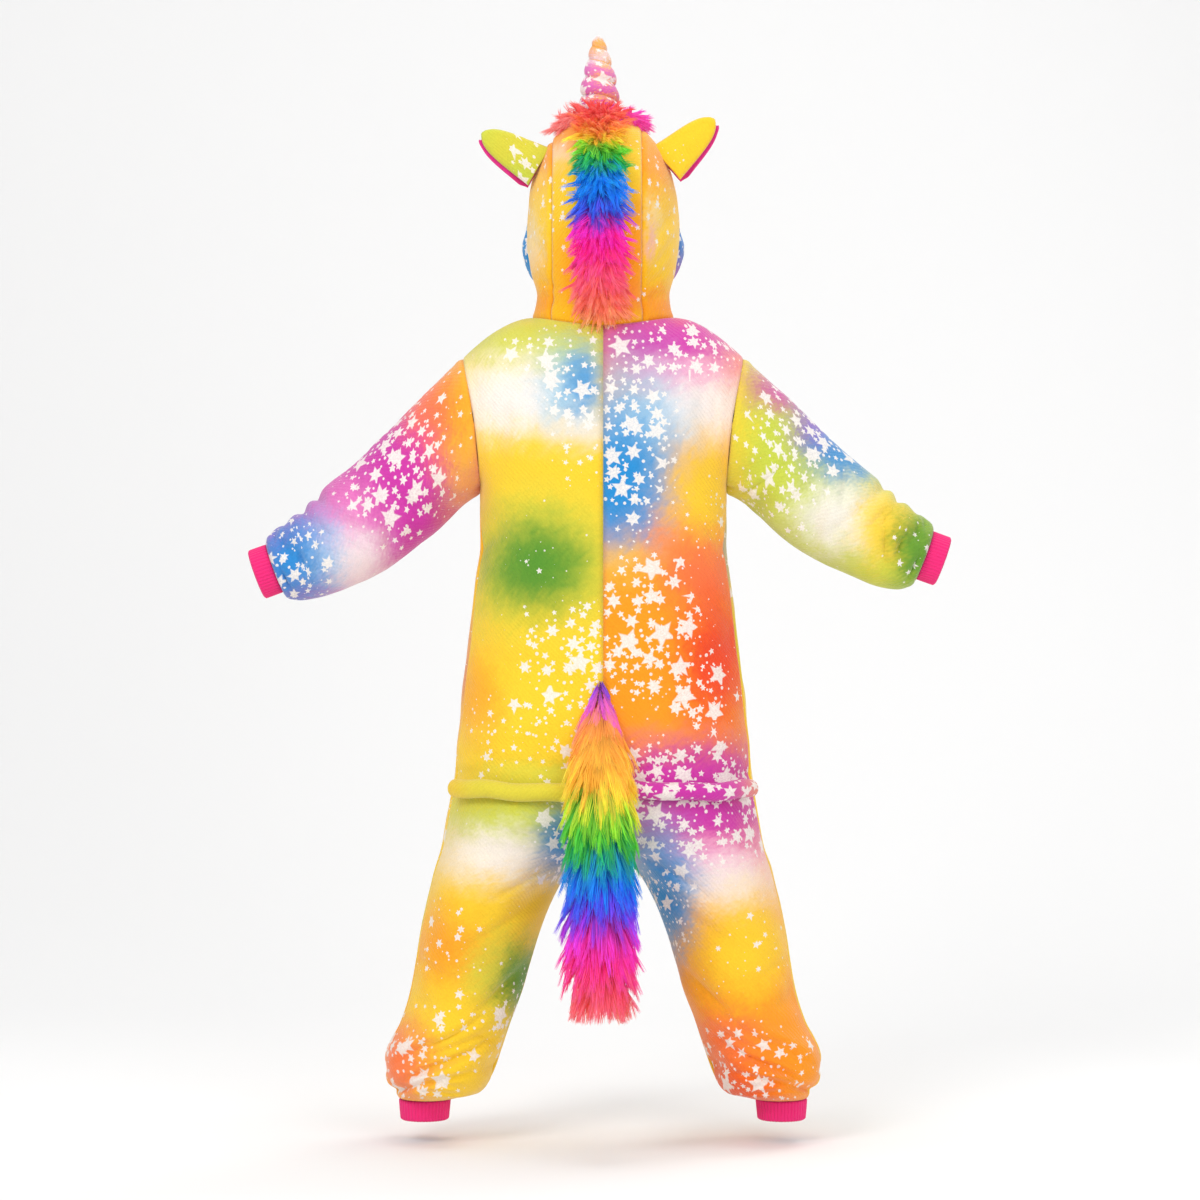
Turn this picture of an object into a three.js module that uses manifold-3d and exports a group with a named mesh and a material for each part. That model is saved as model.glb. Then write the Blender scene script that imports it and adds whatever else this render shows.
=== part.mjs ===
// A child's hooded unicorn onesie, kept in the hollow form and pose it has when it is worn: arms out and
// down, legs apart. Every panel of cloth is a wall, worked out from the garment's own cross sections.
// Millimetres. +X is the viewer's right of the back, +Y is the way the wearer faces, +Z is up.
// The origin is between the shoulders, at the height of the neck seam's side corners less 24 mm.
import * as THREE from "three";
import Module from "manifold-3d";

const wasm = await Module();
wasm.setup();

// Cloth and sewing
const WALL = 2.6;
const SEAM = 0.3;
const LAID = 0.4;
const TURN = 1.3;

// Torso, half of it, from the centre seam to the side
const NECK_X = 90;
const NECK_BACK = 76;
const NECK_FRONT = 82;
const SHOULDER_X = 180;
const NECK_CORNER_Z = 27;
const SHOULDER_DROP = 53;
const ARMPIT_Z = -192;
const ROLL_START_Z = -100;
const ROLL_POWER = 3.4;
const WELT_Z = -571;
const CROTCH_Z = -650;
const ANKLE_Z = -970;
const SIDE_SEAM_ANGLE = 0.2;
const COLORS = {
  lime: 0xc9cf4a, magenta: 0xd84ba8, yellow: 0xfdd545, orange: 0xfca63a, blue: 0x2f9fd8, pink: 0xf51c77,
  cream: 0xf6e7d8, violet: 0xb54fc8, coral: 0xff6f61,
};

// A row for each height of the torso and leg: outer and inner half widths, depth behind and in front
// of the middle, and how square the section is.
const BODY = [
  { z: 60, out: 222, inner: 0, back: 104, front: 104, square: 2.4 },
  { z: -26, out: 218, inner: 0, back: 104, front: 104, square: 2.4 },
  { z: -110, out: 192, inner: 0, back: 105, front: 106, square: 2.4 },
  { z: -192, out: 157, inner: 0, back: 101, front: 104, square: 2.4 },
  { z: -255, out: 157, inner: 0, back: 100, front: 103, square: 2.4 },
  { z: -332, out: 166, inner: 0, back: 100, front: 104, square: 2.4 },
  { z: -448, out: 180, inner: 0, back: 110, front: 106, square: 2.3 },
  { z: -525, out: 187, inner: 0, back: 122, front: 109, square: 2.3 },
  { z: -571, out: 193, inner: 0, back: 127, front: 110, square: 2.3 },
  { z: -615, out: 199, inner: 0, back: 126, front: 110, square: 2.25 },
  { z: -650, out: 206, inner: 0, back: 118, front: 106, square: 2.2 },
  { z: -660, out: 209, inner: 26, back: 114, front: 103, square: 2.2 },
  { z: -678, out: 215, inner: 43, back: 108, front: 99, square: 2.15 },
  { z: -717, out: 225, inner: 66, back: 97, front: 92, square: 2.1 },
  { z: -755, out: 233, inner: 81, back: 89, front: 87, square: 2.1 },
  { z: -794, out: 239, inner: 93, back: 84, front: 84, square: 2.1 },
  { z: -832, out: 246, inner: 104, back: 80, front: 81, square: 2.1 },
  { z: -870, out: 258, inner: 118, back: 79, front: 80, square: 2.1 },
  { z: -909, out: 277, inner: 131, back: 82, front: 82, square: 2.1 },
  { z: -930, out: 281, inner: 138, back: 83, front: 82, square: 2.1 },
  { z: -949, out: 275, inner: 147, back: 77, front: 77, square: 2.1 },
  { z: -962, out: 264, inner: 159, back: 62, front: 62, square: 2.05 },
  { z: -970, out: 262, inner: 194, back: 35, front: 35, square: 2 },
];

// Large folds of a leg: where along the leg, where round it (0 at the outer side, -1 at the back, -2 at
// the inseam), how far it slants down for each unit round, its reach round, its width and its height.
const LEG_FOLDS = [
  { z: -905, round: -1.0, slant: -42, reach: 0.75, width: 15, height: -7 },
  { z: -880, round: -0.9, slant: -42, reach: 0.8, width: 14, height: 5 },
  { z: -936, round: -0.7, slant: -30, reach: 0.7, width: 11, height: -4.5 },
  { z: -820, round: -1.5, slant: -60, reach: 0.5, width: 16, height: -4.5 },
  { z: -700, round: -1.6, slant: -60, reach: 0.5, width: 18, height: -4 },
  { z: -905, round: 1.0, slant: 40, reach: 0.75, width: 15, height: -6.5 },
  { z: -878, round: 1.1, slant: 38, reach: 0.8, width: 14, height: 5 },
  { z: -935, round: 0.6, slant: 30, reach: 0.7, width: 11, height: -4.5 },
  { z: -930, round: 0.05, slant: 0, reach: 0.45, width: 10, height: -4 },
  { z: -925, round: -1.8, slant: 14, reach: 0.4, width: 10, height: -4 },
];
// Creases of the trunk beside the armholes and at the small of the back.
const TRUNK_FOLDS = [
  { z: -120, round: -0.45, slant: -250, reach: 0.16, width: 34, height: -4.5 },
  { z: -120, round: 0.45, slant: 250, reach: 0.16, width: 34, height: -4.5 },
  { z: -420, round: -0.6, slant: 60, reach: 0.6, width: 22, height: -3 },
  { z: -500, round: -0.5, slant: -40, reach: 0.6, width: 20, height: 3 },
  { z: -250, round: 0.7, slant: -50, reach: 0.6, width: 22, height: -3 },
];

// A row for each station of the left sleeve, from the armhole to the wrist: its middle, half height and
// half depth, and the lean of its section from upright.
const SLEEVE = [
  { at: 0, x: 166, z: -110, high: 84, deep: 66, lean: 7 },
  { at: 0.2, x: 202, z: -139, high: 75, deep: 66, lean: 17 },
  { at: 0.45, x: 256, z: -192, high: 69, deep: 62, lean: 23 },
  { at: 0.7, x: 316, z: -240, high: 63, deep: 58, lean: 26 },
  { at: 0.84, x: 361, z: -268, high: 58, deep: 54, lean: 19 },
  { at: 0.93, x: 396, z: -284, high: 49, deep: 47, lean: 14 },
  { at: 0.975, x: 412, z: -290, high: 41, deep: 40, lean: 17 },
  { at: 1, x: 419, z: -292, high: 34, deep: 33, lean: 20 },
];
const SLEEVE_FOLDS = [
  { at: 0.86, round: 0.1, slant: 0.02, reach: 1.0, width: 0.022, height: -6 },
  { at: 0.78, round: -0.2, slant: 0.03, reach: 0.9, width: 0.024, height: -5 },
  { at: 0.915, round: 0.3, slant: -0.02, reach: 0.9, width: 0.018, height: -5 },
  { at: 0.7, round: -1.7, slant: 0.07, reach: 1.0, width: 0.035, height: -5 },
  { at: 0.58, round: -2.1, slant: -0.06, reach: 0.8, width: 0.04, height: -4 },
  { at: 0.3, round: -2.6, slant: 0.05, reach: 0.7, width: 0.05, height: -5 },
  { at: 0.86, round: 2.9, slant: 0.02, reach: 1.1, width: 0.022, height: -6 },
  { at: 0.7, round: 1.7, slant: -0.07, reach: 1.0, width: 0.035, height: -5 },
];
// The right arm is held a little higher and looks a little shorter than the left.
const ARM = { left: { reach: 1, lift: 0 }, right: { reach: 0.965, lift: 17 } };

// Hood rows from the neck seam over the crown to the brow: middle of the row, its tilt from level,
// depth behind the middle, half width, and the angle at which the face edge ends it.
const HOOD = [
  { at: 0, y: 0, z: 30, tilt: 0, back: 77, half: 90, end: 158 },
  { at: 0.12, y: 6, z: 56, tilt: 0, back: 88, half: 85, end: 135 },
  { at: 0.25, y: 20, z: 90, tilt: 0, back: 112, half: 93, end: 110 },
  { at: 0.4, y: 40, z: 132, tilt: 6, back: 141, half: 98, end: 98 },
  { at: 0.55, y: 45, z: 152, tilt: 22, back: 149, half: 98, end: 98 },
  { at: 0.7, y: 52, z: 170, tilt: 42, back: 138, half: 97, end: 96 },
  { at: 0.85, y: 60, z: 186, tilt: 65, back: 112, half: 92, end: 92 },
  { at: 1, y: 64, z: 187, tilt: 90, back: 96, half: 86, end: 74 },
];
const HOOD_SEAM = { left: -66, right: 50 };
const BAND_WIDTH = 24;
const BAND_GAP = 0.85;

// A row for each height of the tail: half width, half depth and how far behind the middle it hangs.
const TAIL = [
  { z: -444, wide: 5, deep: 3, y: -112.4 },
  { z: -458, wide: 17, deep: 9, y: -121 },
  { z: -490, wide: 32, deep: 19, y: -141 },
  { z: -530, wide: 42, deep: 27, y: -166 },
  { z: -571, wide: 44, deep: 31, y: -185 },
  { z: -620, wide: 45, deep: 33, y: -191 },
  { z: -700, wide: 45, deep: 34, y: -190 },
  { z: -780, wide: 46, deep: 34, y: -187 },
  { z: -820, wide: 40, deep: 29, y: -185 },
  { z: -843, wide: 22, deep: 16, y: -184 },
  { z: -851, wide: 6, deep: 5, y: -183 },
];
const TAIL_X = -4;
const TAIL_LAYERS = 11;

// Horn, a stuffed cone wound in to rings: where each ring ends, from the root to the tip.
const HORN_RINGS = [
  { at: 0, ring: 0 },
  { at: 0.2, ring: 1 },
  { at: 0.38, ring: 2 },
  { at: 0.6, ring: 3 },
  { at: 0.79, ring: 4 },
  { at: 0.92, ring: 5 },
  { at: 1, ring: 6 },
];
const HORN_SHAPE = [
  { at: 0, radius: 27.5 },
  { at: 0.1, radius: 27.3 },
  { at: 0.29, radius: 25.4 },
  { at: 0.49, radius: 22.2 },
  { at: 0.69, radius: 16.5 },
  { at: 0.85, radius: 11 },
  { at: 0.96, radius: 7 },
  { at: 1, radius: 5.5 },
];
const HORN = { x: -4, y: 24, tipX: -6, tipY: 20, tipZ: 392, root: 27.5, groove: 0.16 };

// Ears: middle of the root, tip, and greatest width.
const EAR = {
  left: { x: -82, y: 8, z: 222, tipX: -156, tipZ: 266, width: 62 },
  right: { x: 80, y: 8, z: 226, tipX: 143, tipZ: 284, width: 62 },
};
const BUTTONS = { count: 5, top: -60, pitch: 92, radius: 10, thick: 3.2, hole: 1.5, spread: 3.2 };
const PLACKET = { half: 20, top: -22, bottom: -480 };

const back = (half) => (half < 0 ? "left" : "right");
const clamp = (x, low, high) => Math.min(high, Math.max(low, x));
const ease = (x) => clamp(x, 0, 1) ** 2 * (3 - 2 * clamp(x, 0, 1));
const signedPower = (x, power) => Math.sign(x) * Math.abs(x) ** power;

// Reads a column between the rows of a table, along a smooth line that never swings past them.
function read(table, key, column, at) {
  const last = table.length - 1;
  const way = Math.sign(table[last][key] - table[0][key]);
  let i = 0;
  while (i < last - 1 && way * (at - table[i + 1][key]) > 0) i += 1;
  const slope = (k) => (table[k + 1][column] - table[k][column]) / (table[k + 1][key] - table[k][key]);
  const tangent = (k) => {
    if (k <= 0) return slope(0);
    if (k >= last) return slope(last - 1);
    const product = slope(k - 1) * slope(k);
    return product <= 0 ? 0 : (2 * product) / (slope(k - 1) + slope(k));
  };
  const span = table[i + 1][key] - table[i][key];
  const t = clamp((at - table[i][key]) / span, 0, 1);
  const rise = t * t * (3 - 2 * t);
  return (
    table[i][column] * (1 - rise) +
    table[i + 1][column] * rise +
    span * (tangent(i) * t * (1 - t) ** 2 - tangent(i + 1) * t * t * (1 - t))
  );
}

// Height that the folds of a table add at a place on the cloth.
function foldHeight(table, key, at, round) {
  let height = 0;
  for (const row of table) {
    const across = (round - row.round) / row.reach;
    if (Math.abs(across) >= 1) continue;
    const along = (at - row[key] - row.slant * (round - row.round)) / row.width;
    height += row.height * Math.exp(-along * along) * (1 - across * across) ** 2;
  }
  return height;
}

// Shoulder line, seen from behind.
function ridgeZ(x) {
  if (x < NECK_X) return NECK_CORNER_Z + 0.175 * (NECK_X - (x * x) / NECK_X);
  return NECK_CORNER_Z - SHOULDER_DROP * ((x - NECK_X) / (SHOULDER_X - NECK_X)) ** 1.7;
}

function armholeX(z) {
  const rows = [
    { z: -26, x: SHOULDER_X },
    { z: -110, x: 164 },
    { z: ARMPIT_Z, x: 157 },
  ];
  return read(rows, "z", "x", z);
}

// Depth of the trunk's surface from the middle, in front or behind.
function trunkDepth(x, z, face) {
  const square = read(BODY, "z", "square", z);
  const out = read(BODY, "z", "out", z);
  const plan = Math.max(0, 1 - (Math.abs(x) / out) ** square) ** (1 / square);
  const roll = clamp((z - ROLL_START_Z) / (ridgeZ(Math.abs(x)) - ROLL_START_Z), 0, 1);
  return read(BODY, "z", face, z) * plan * Math.sqrt(1 - roll ** ROLL_POWER);
}

// Top edge of the cloth: the neck seam within the neck, else the shoulder line.
function topZ(x, face) {
  if (x >= NECK_X) return ridgeZ(x);
  const neck = (face === "back" ? NECK_BACK : NECK_FRONT) * Math.sqrt(1 - (x / NECK_X) ** 2);
  const depth = trunkDepth(x, ROLL_START_Z, face);
  return ROLL_START_Z + (1 - (neck / depth) ** 2) ** (1 / ROLL_POWER) * (ridgeZ(x) - ROLL_START_Z);
}

// The angle round a half section runs from 0 at the outer side to this at the centre seam or inseam.
function widestAngle(z) {
  return Math.PI / 2 + (Math.PI / 2) * ease((WELT_Z - z) / (WELT_Z - CROTCH_Z));
}

const seamAngle = (z) => SIDE_SEAM_ANGLE * ease((ARMPIT_Z - z) / 70);
const UPPER_POWER = 1.5;

// A point of the trunk and leg. half is 1 on the right of the back and -1 on the left. level runs from
// -1 at the top edge to 0 at the armpit, and then counts millimetres down.
function bodyPoint(half, angle, level, face) {
  const square = read(BODY, "z", "square", ARMPIT_Z - Math.max(0, level));
  if (level < 0) {
    const share = Math.abs(Math.cos(angle)) ** (2 / square);
    const top = topZ(share * SHOULDER_X, face);
    const z = ARMPIT_Z + (top - ARMPIT_Z) * (1 - (1 + level) ** UPPER_POWER);
    const x = Math.sign(Math.cos(angle)) * share * armholeX(z);
    const crease = foldHeight(TRUNK_FOLDS, "z", z, angle / (Math.PI / 2)) * ease(-level * 4) * ease((1 + level) * 4);
    const y = trunkDepth(x, z, face) + crease;
    return new THREE.Vector3(half * x, face === "back" ? -y : y, z);
  }
  const z = ARMPIT_Z - level;
  const widest = widestAngle(z);
  const out = read(BODY, "z", "out", z);
  const inner = read(BODY, "z", "inner", z);
  const reach = (out - inner) / (1 - signedPower(Math.cos(widest), 2 / square));
  const depth = read(BODY, "z", angle < 0 ? "back" : "front", z);
  const round = angle / (Math.PI / 2);
  const leg = ease((CROTCH_Z + 70 - z) / 30);
  const folds = foldHeight(LEG_FOLDS, "z", z, round) * leg + foldHeight(TRUNK_FOLDS, "z", z, round) * (1 - leg);
  const rise = folds * ease(level / 50);
  const cosine = Math.cos(angle);
  const sine = Math.sin(angle);
  return new THREE.Vector3(
    half * (out - reach + reach * signedPower(cosine, 2 / square) + rise * cosine),
    depth * signedPower(sine, 2 / square) + rise * sine,
    z,
  );
}

// Outline of the armhole, round from the shoulder line (0) by the back (minus) to the armpit.
function armholePoint(half, round) {
  const face = round < 0 ? "back" : "front";
  const top = ridgeZ(SHOULDER_X);
  const z = (top + ARMPIT_Z) / 2 + ((top - ARMPIT_Z) / 2) * Math.cos(round);
  const level = (1 - clamp((z - ARMPIT_Z) / (top - ARMPIT_Z), 0, 1)) ** (1 / UPPER_POWER) - 1;
  return bodyPoint(half, 0, Math.min(level, -1e-6), face);
}

// Middle of a sleeve's section and the section's two axes.
function sleeveFrame(half, at) {
  const arm = ARM[back(half)];
  const lean = (read(SLEEVE, "at", "lean", at) * Math.PI) / 180;
  const x = SLEEVE[0].x + (read(SLEEVE, "at", "x", at) - SLEEVE[0].x) * arm.reach;
  const z = read(SLEEVE, "at", "z", at) + arm.lift * at;
  return {
    middle: new THREE.Vector3(half * x, 0, z),
    up: new THREE.Vector3(half * Math.sin(lean), 0, Math.cos(lean)),
    out: new THREE.Vector3(half * Math.cos(lean), 0, -Math.sin(lean)),
  };
}

function sleevePoint(half, round, at) {
  const { middle, up } = sleeveFrame(half, at);
  const fade = ease(at * 5) * ease((1 - at) * 25);
  const turn = Math.atan2(Math.sin(round), Math.cos(round));
  const rise = foldHeight(SLEEVE_FOLDS, "at", at, turn) * fade;
  const high = read(SLEEVE, "at", "high", at) + rise;
  const deep = read(SLEEVE, "at", "deep", at) + rise;
  const section = middle
    .clone()
    .addScaledVector(up, high * Math.cos(round))
    .add(new THREE.Vector3(0, deep * Math.sin(round), 0));
  return armholePoint(half, turn).lerp(section, ease(at / 0.24));
}

// Neck seam, round from the middle of the back.
function neckPoint(round) {
  const x = NECK_X * Math.sin(round);
  const face = Math.cos(round) > 0 ? "back" : "front";
  const angle = Math.acos(Math.abs(x / SHOULDER_X) ** (BODY[0].square / 2));
  return bodyPoint(x < 0 ? -1 : 1, angle, -1, face);
}

function hoodPoint(round, at) {
  const tilt = (read(HOOD, "at", "tilt", at) * Math.PI) / 180;
  const depth = read(HOOD, "at", "back", at) * Math.cos(round);
  const section = new THREE.Vector3(
    read(HOOD, "at", "half", at) * Math.sin(round),
    read(HOOD, "at", "y", at) - depth * Math.cos(tilt),
    read(HOOD, "at", "z", at) + depth * Math.sin(tilt),
  );
  const neck = neckPoint(round).add(new THREE.Vector3(0, 0, TURN));
  return neck.lerp(section, ease(at / 0.12));
}

const hoodEnd = (at) => (read(HOOD, "at", "end", at) * Math.PI) / 180;

function hoodNormal(round, at) {
  const step = 0.01;
  const high = Math.min(1, at + step);
  const low = Math.max(0, at - step);
  const acrossWay = hoodPoint(round + step, at).sub(hoodPoint(round - step, at));
  const alongWay = hoodPoint(round, high).sub(hoodPoint(round, low));
  return acrossWay.cross(alongWay).normalize();
}

// The place on the hood whose two named coordinates are the given ones, found by Newton's steps.
function hoodAt(first, second, wanted, start) {
  let [round, at] = start;
  for (let i = 0; i < 12; i += 1) {
    const here = hoodPoint(round, at);
    const step = 1e-4;
    const byRound = hoodPoint(round + step, at).sub(here).divideScalar(step);
    const byAt = hoodPoint(round, at + step).sub(here).divideScalar(step);
    const missFirst = wanted[0] - here[first];
    const missSecond = wanted[1] - here[second];
    const area = byRound[first] * byAt[second] - byRound[second] * byAt[first];
    round += clamp((missFirst * byAt[second] - missSecond * byAt[first]) / area, -0.2, 0.2);
    at = clamp(at + clamp((byRound[first] * missSecond - byRound[second] * missFirst) / area, -0.1, 0.1), 0.1, 0.995);
  }
  return { round, at, point: hoodPoint(round, at), normal: hoodNormal(round, at) };
}

// A closed mesh from a list of points and a list of faces, turned to face outwards.
function solid(points, faces) {
  let volume = 0;
  for (const [a, b, c] of faces) volume += points[a].dot(new THREE.Vector3().crossVectors(points[b], points[c]));
  const index = volume < 0 ? faces.flatMap(([a, b, c]) => [a, c, b]) : faces.flat();
  const geometry = new THREE.BufferGeometry().setFromPoints(points).setIndex(index);
  geometry.computeVertexNormals();
  return geometry;
}

const quad = (a, b, c, d) => [
  [a, b, c],
  [a, c, d],
];

// The same, cut along its shorter diagonal.
function shortQuad(points, a, b, c, d) {
  const shorter = points[a].distanceTo(points[c]) <= points[b].distanceTo(points[d]);
  return shorter ? quad(a, b, c, d) : quad(b, c, d, a);
}

// A wall of cloth on a surface point(u, v), with u in columns and v in rows. hint points roughly
// outwards. ring joins the last column to the first. trim draws the named edges back from a seam, and
// square(u, v, normal) may turn the wall's direction at a seam, so that two panels meet face to face.
function wall({ columns, rows, point, hint, thick = WALL, ring = false, trim = {}, square, relief, lift = 0 }) {
  const wide = ring ? columns : columns + 1;
  const outside = [];
  const normals = [];
  let vote = 0;
  const nudge = 0.04;
  for (let j = 0; j <= rows; j += 1) {
    for (let i = 0; i < wide; i += 1) {
      const p = point(i / columns, j / rows);
      const acrossWay = point((i + nudge) / columns, j / rows).sub(point((i - nudge) / columns, j / rows));
      const high = Math.min(rows, j + nudge) / rows;
      const low = Math.max(0, j - nudge) / rows;
      const alongWay = point(i / columns, high).sub(point(i / columns, low));
      const normal = acrossWay.cross(alongWay).normalize();
      vote += normal.dot(hint(p));
      outside.push(p);
      normals.push(normal);
    }
  }
  if (vote < 0) normals.forEach((normal) => normal.negate());
  const at = (i, j) => j * wide + (ring ? (i + columns) % columns : i);
  normals.forEach((normal, k) => {
    if (square) square((k % wide) / columns, Math.floor(k / wide) / rows, normal);
    outside[k].addScaledVector(normal, lift);
  });
  const draw = (edge, inward, gap) => {
    const moves = edge.map((k, n) => outside[inward[n]].clone().sub(outside[k]).setLength(gap));
    edge.forEach((k, n) => outside[k].add(moves[n]));
  };
  const columnAt = (i) => Array.from({ length: rows + 1 }, (_, j) => at(i, j));
  const rowAt = (j) => Array.from({ length: wide }, (_, i) => at(i, j));
  if (trim.first) draw(columnAt(0), columnAt(1), trim.first);
  if (trim.last) draw(columnAt(columns), columnAt(columns - 1), trim.last);
  if (trim.top) draw(rowAt(0), rowAt(1), trim.top);
  if (trim.bottom) draw(rowAt(rows), rowAt(rows - 1), trim.bottom);
  const count = outside.length;
  const inside = outside.map((p, k) => p.clone().addScaledVector(normals[k], -thick));
  if (relief) {
    outside.forEach((p, k) => {
      p.addScaledVector(normals[k], relief((k % wide) / columns, Math.floor(k / wide) / rows));
    });
  }
  const faces = [];
  for (let j = 0; j < rows; j += 1) {
    for (let i = 0; i < columns; i += 1) {
      const corners = [at(i, j), at(i + 1, j), at(i + 1, j + 1), at(i, j + 1)];
      for (const [p, q, r] of shortQuad(outside, ...corners)) {
        faces.push([p, q, r]);
        faces.push([p + count, r + count, q + count]);
      }
    }
  }
  const close = (a, b) => faces.push(...quad(a, a + count, b + count, b));
  for (let i = 0; i < columns; i += 1) {
    close(at(i, 0), at(i + 1, 0));
    close(at(i + 1, rows), at(i, rows));
  }
  if (!ring) {
    for (let j = 0; j < rows; j += 1) {
      close(at(0, j + 1), at(0, j));
      close(at(columns, j), at(columns, j + 1));
    }
  }
  return solid([...outside, ...inside], faces);
}

// A stuffed piece: a stack of rings with the same number of points, closed at both ends.
function stack(rings, first, last) {
  const sides = rings[0].length;
  const points = [...rings.flat(), first, last];
  const faces = [];
  for (let j = 0; j < rings.length - 1; j += 1) {
    for (let i = 0; i < sides; i += 1) {
      const next = (i + 1) % sides;
      faces.push(...quad(j * sides + i, j * sides + next, (j + 1) * sides + next, (j + 1) * sides + i));
    }
  }
  const top = (rings.length - 1) * sides;
  for (let i = 0; i < sides; i += 1) {
    const next = (i + 1) % sides;
    faces.push([points.length - 2, next, i]);
    faces.push([points.length - 1, top + i, top + next]);
  }
  return solid(points, faces);
}

const garment = new THREE.Group();

function add(name, geometry, color, roughness = 0.9) {
  const mesh = new THREE.Mesh(geometry, new THREE.MeshStandardMaterial({ color, roughness, metalness: 0 }));
  mesh.name = name;
  garment.add(mesh);
  return mesh;
}

const fromAxis = (p) => new THREE.Vector3(p.x, p.y, 0);

// Reads a plain list of levels at a share of the way along it.
function step(list, share) {
  const place = clamp(share, 0, 1) * (list.length - 1);
  const k = Math.min(list.length - 2, Math.floor(place));
  return list[k] + (list[k + 1] - list[k]) * (place - k);
}

const SEAM_LEVELS = { welt: ARMPIT_Z - WELT_Z, ankle: ARMPIT_Z - ANKLE_Z };
const UPPER_LEVELS = [-1, -0.985, -0.93, -0.83, -0.7, -0.5, -0.28, 0];
const TRUNK_LEVELS = [44, 92, 145, 205, 265, 325, SEAM_LEVELS.welt];
const LEG_LEVELS = [394, 406, 417, 428, 440, 458, 468, 486, 525, 563, 600, 630, 655, 677, 697, 716, 738, 756, 769, SEAM_LEVELS.ankle];

// Turns the wall's direction along the shoulder line and the armhole, where two panels meet at a slant.
function squareShoulder(half, level, share, normal) {
  const across = Math.abs(Math.cos((Math.PI / 2) * share)) ** (2 / BODY[0].square) * SHOULDER_X;
  if (level <= -0.999 && across > NECK_X) {
    normal.y = 0;
    normal.normalize();
  }
  const armhole = new THREE.Vector3(half * 0.992, 0, -0.125);
  if (share < 1e-9 && level < 0) normal.addScaledVector(armhole, -normal.dot(armhole)).normalize();
}

// Panels of the trunk and legs. u is 0 at the side seam or armhole, and 1 at the centre seam or inseam.
function bodyPanel(half, face, levels, columns, trim) {
  const point = (u, v) => {
    const level = step(levels, v);
    const z = ARMPIT_Z - Math.max(0, level);
    const side = -seamAngle(z);
    const share = level < 0 ? Math.max(0, u) : u;
    const angle = face === "back" ? side - share * (widestAngle(z) + side) : side + share * (widestAngle(z) - side);
    return bodyPoint(half, angle, level, face);
  };
  const square = (u, v, normal) => squareShoulder(half, step(levels, v), u, normal);
  const middle = (p) => new THREE.Vector3(p.x - half * 90, p.y * 2, 20);
  return wall({ columns, rows: levels.length - 1, point, hint: middle, trim, square });
}

function addBody(half) {
  const end = back(half);
  const seam = SEAM / 2;
  const upper = [...UPPER_LEVELS, ...TRUNK_LEVELS];
  const seat = [SEAM_LEVELS.welt, ...LEG_LEVELS];
  const trim = { first: seam, last: seam, top: seam, bottom: seam };
  add(`back_${end}`, bodyPanel(half, "back", upper, 9, trim), half < 0 ? COLORS.lime : COLORS.orange);
  add(`seat_${end}`, bodyPanel(half, "back", seat, 11, trim), half < 0 ? COLORS.yellow : COLORS.magenta);
  const whole = [...upper, ...LEG_LEVELS];
  add(`front_${end}`, bodyPanel(half, "front", whole, 11, trim), half < 0 ? COLORS.yellow : COLORS.orange);
}

function addSleeve(half) {
  const stations = [0, 0.1, 0.17, 0.26, 0.35, 0.45, 0.55, 0.64, 0.71, 0.77, 0.81, 0.85, 0.885, 0.915, 0.945, 0.972, 1];
  const geometry = wall({
    columns: 18,
    rows: stations.length - 1,
    ring: true,
    point: (u, v) => sleevePoint(half, u * 2 * Math.PI, step(stations, v)),
    hint: (p) => new THREE.Vector3(0, p.y, 0),
    trim: { top: TURN, bottom: SEAM / 2 },
    square: (u, v, normal) => {
      const round = u * 2 * Math.PI;
      if (v < 1e-9) normal.set(0, Math.sin(round), Math.cos(round));
    },
  });
  add(`sleeve_${back(half)}`, geometry, half < 0 ? COLORS.magenta : COLORS.lime);
}

const RIB = { sides: 40, height: 0.8 };
const ribs = (u) => (Math.round(u * RIB.sides) % 2 ? 0 : RIB.height);

function addCuff(half) {
  const { middle, up, out } = sleeveFrame(half, 1);
  const high = read(SLEEVE, "at", "high", 1);
  const deep = read(SLEEVE, "at", "deep", 1);
  const length = 26;
  const geometry = wall({
    columns: RIB.sides,
    rows: 1,
    ring: true,
    thick: 2.2,
    point: (u, v) =>
      middle
        .clone()
        .addScaledVector(out, SEAM / 2 + length * v)
        .addScaledVector(up, (high - 2) * Math.cos(u * 2 * Math.PI))
        .add(new THREE.Vector3(0, (deep - 2) * Math.sin(u * 2 * Math.PI), 0)),
    hint: (p) => new THREE.Vector3(0, p.y, 0),
    relief: ribs,
  });
  add(`cuff_${back(half)}`, geometry, COLORS.pink);
}

function addAnkleCuff(half) {
  const last = BODY[BODY.length - 1];
  const middle = (last.out + last.inner) / 2;
  const radius = (last.out - last.inner) / 2 - 1;
  const length = 27;
  const geometry = wall({
    columns: RIB.sides,
    rows: 1,
    ring: true,
    thick: 2.2,
    point: (u, v) =>
      new THREE.Vector3(
        half * middle + (radius - 2.5 * v) * Math.cos(u * 2 * Math.PI),
        (radius - 2.5 * v) * Math.sin(u * 2 * Math.PI),
        ANKLE_Z - SEAM / 2 - length * v,
      ),
    hint: (p) => new THREE.Vector3(0, p.y, 0),
    relief: ribs,
  });
  add(`ankle_cuff_${back(half)}`, geometry, COLORS.pink);
}

const HOOD_STATIONS = [0, 0.05, 0.12, 0.2, 0.3, 0.4, 0.5, 0.58, 0.66, 0.74, 0.82, 0.9, 1];
const CENTRE_COLUMNS = 6;
const SIDE_COLUMNS = 7;
const BAND_FLARE = { all: 5, cheeks: 10, at: 0.25, reach: 0.2 };
const fromHood = (p) => new THREE.Vector3(p.x, p.y - 30, p.z - 150);
const hoodSeamAngle = (x, at) => Math.asin(clamp(x / read(HOOD, "at", "half", at), -1, 1));

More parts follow.
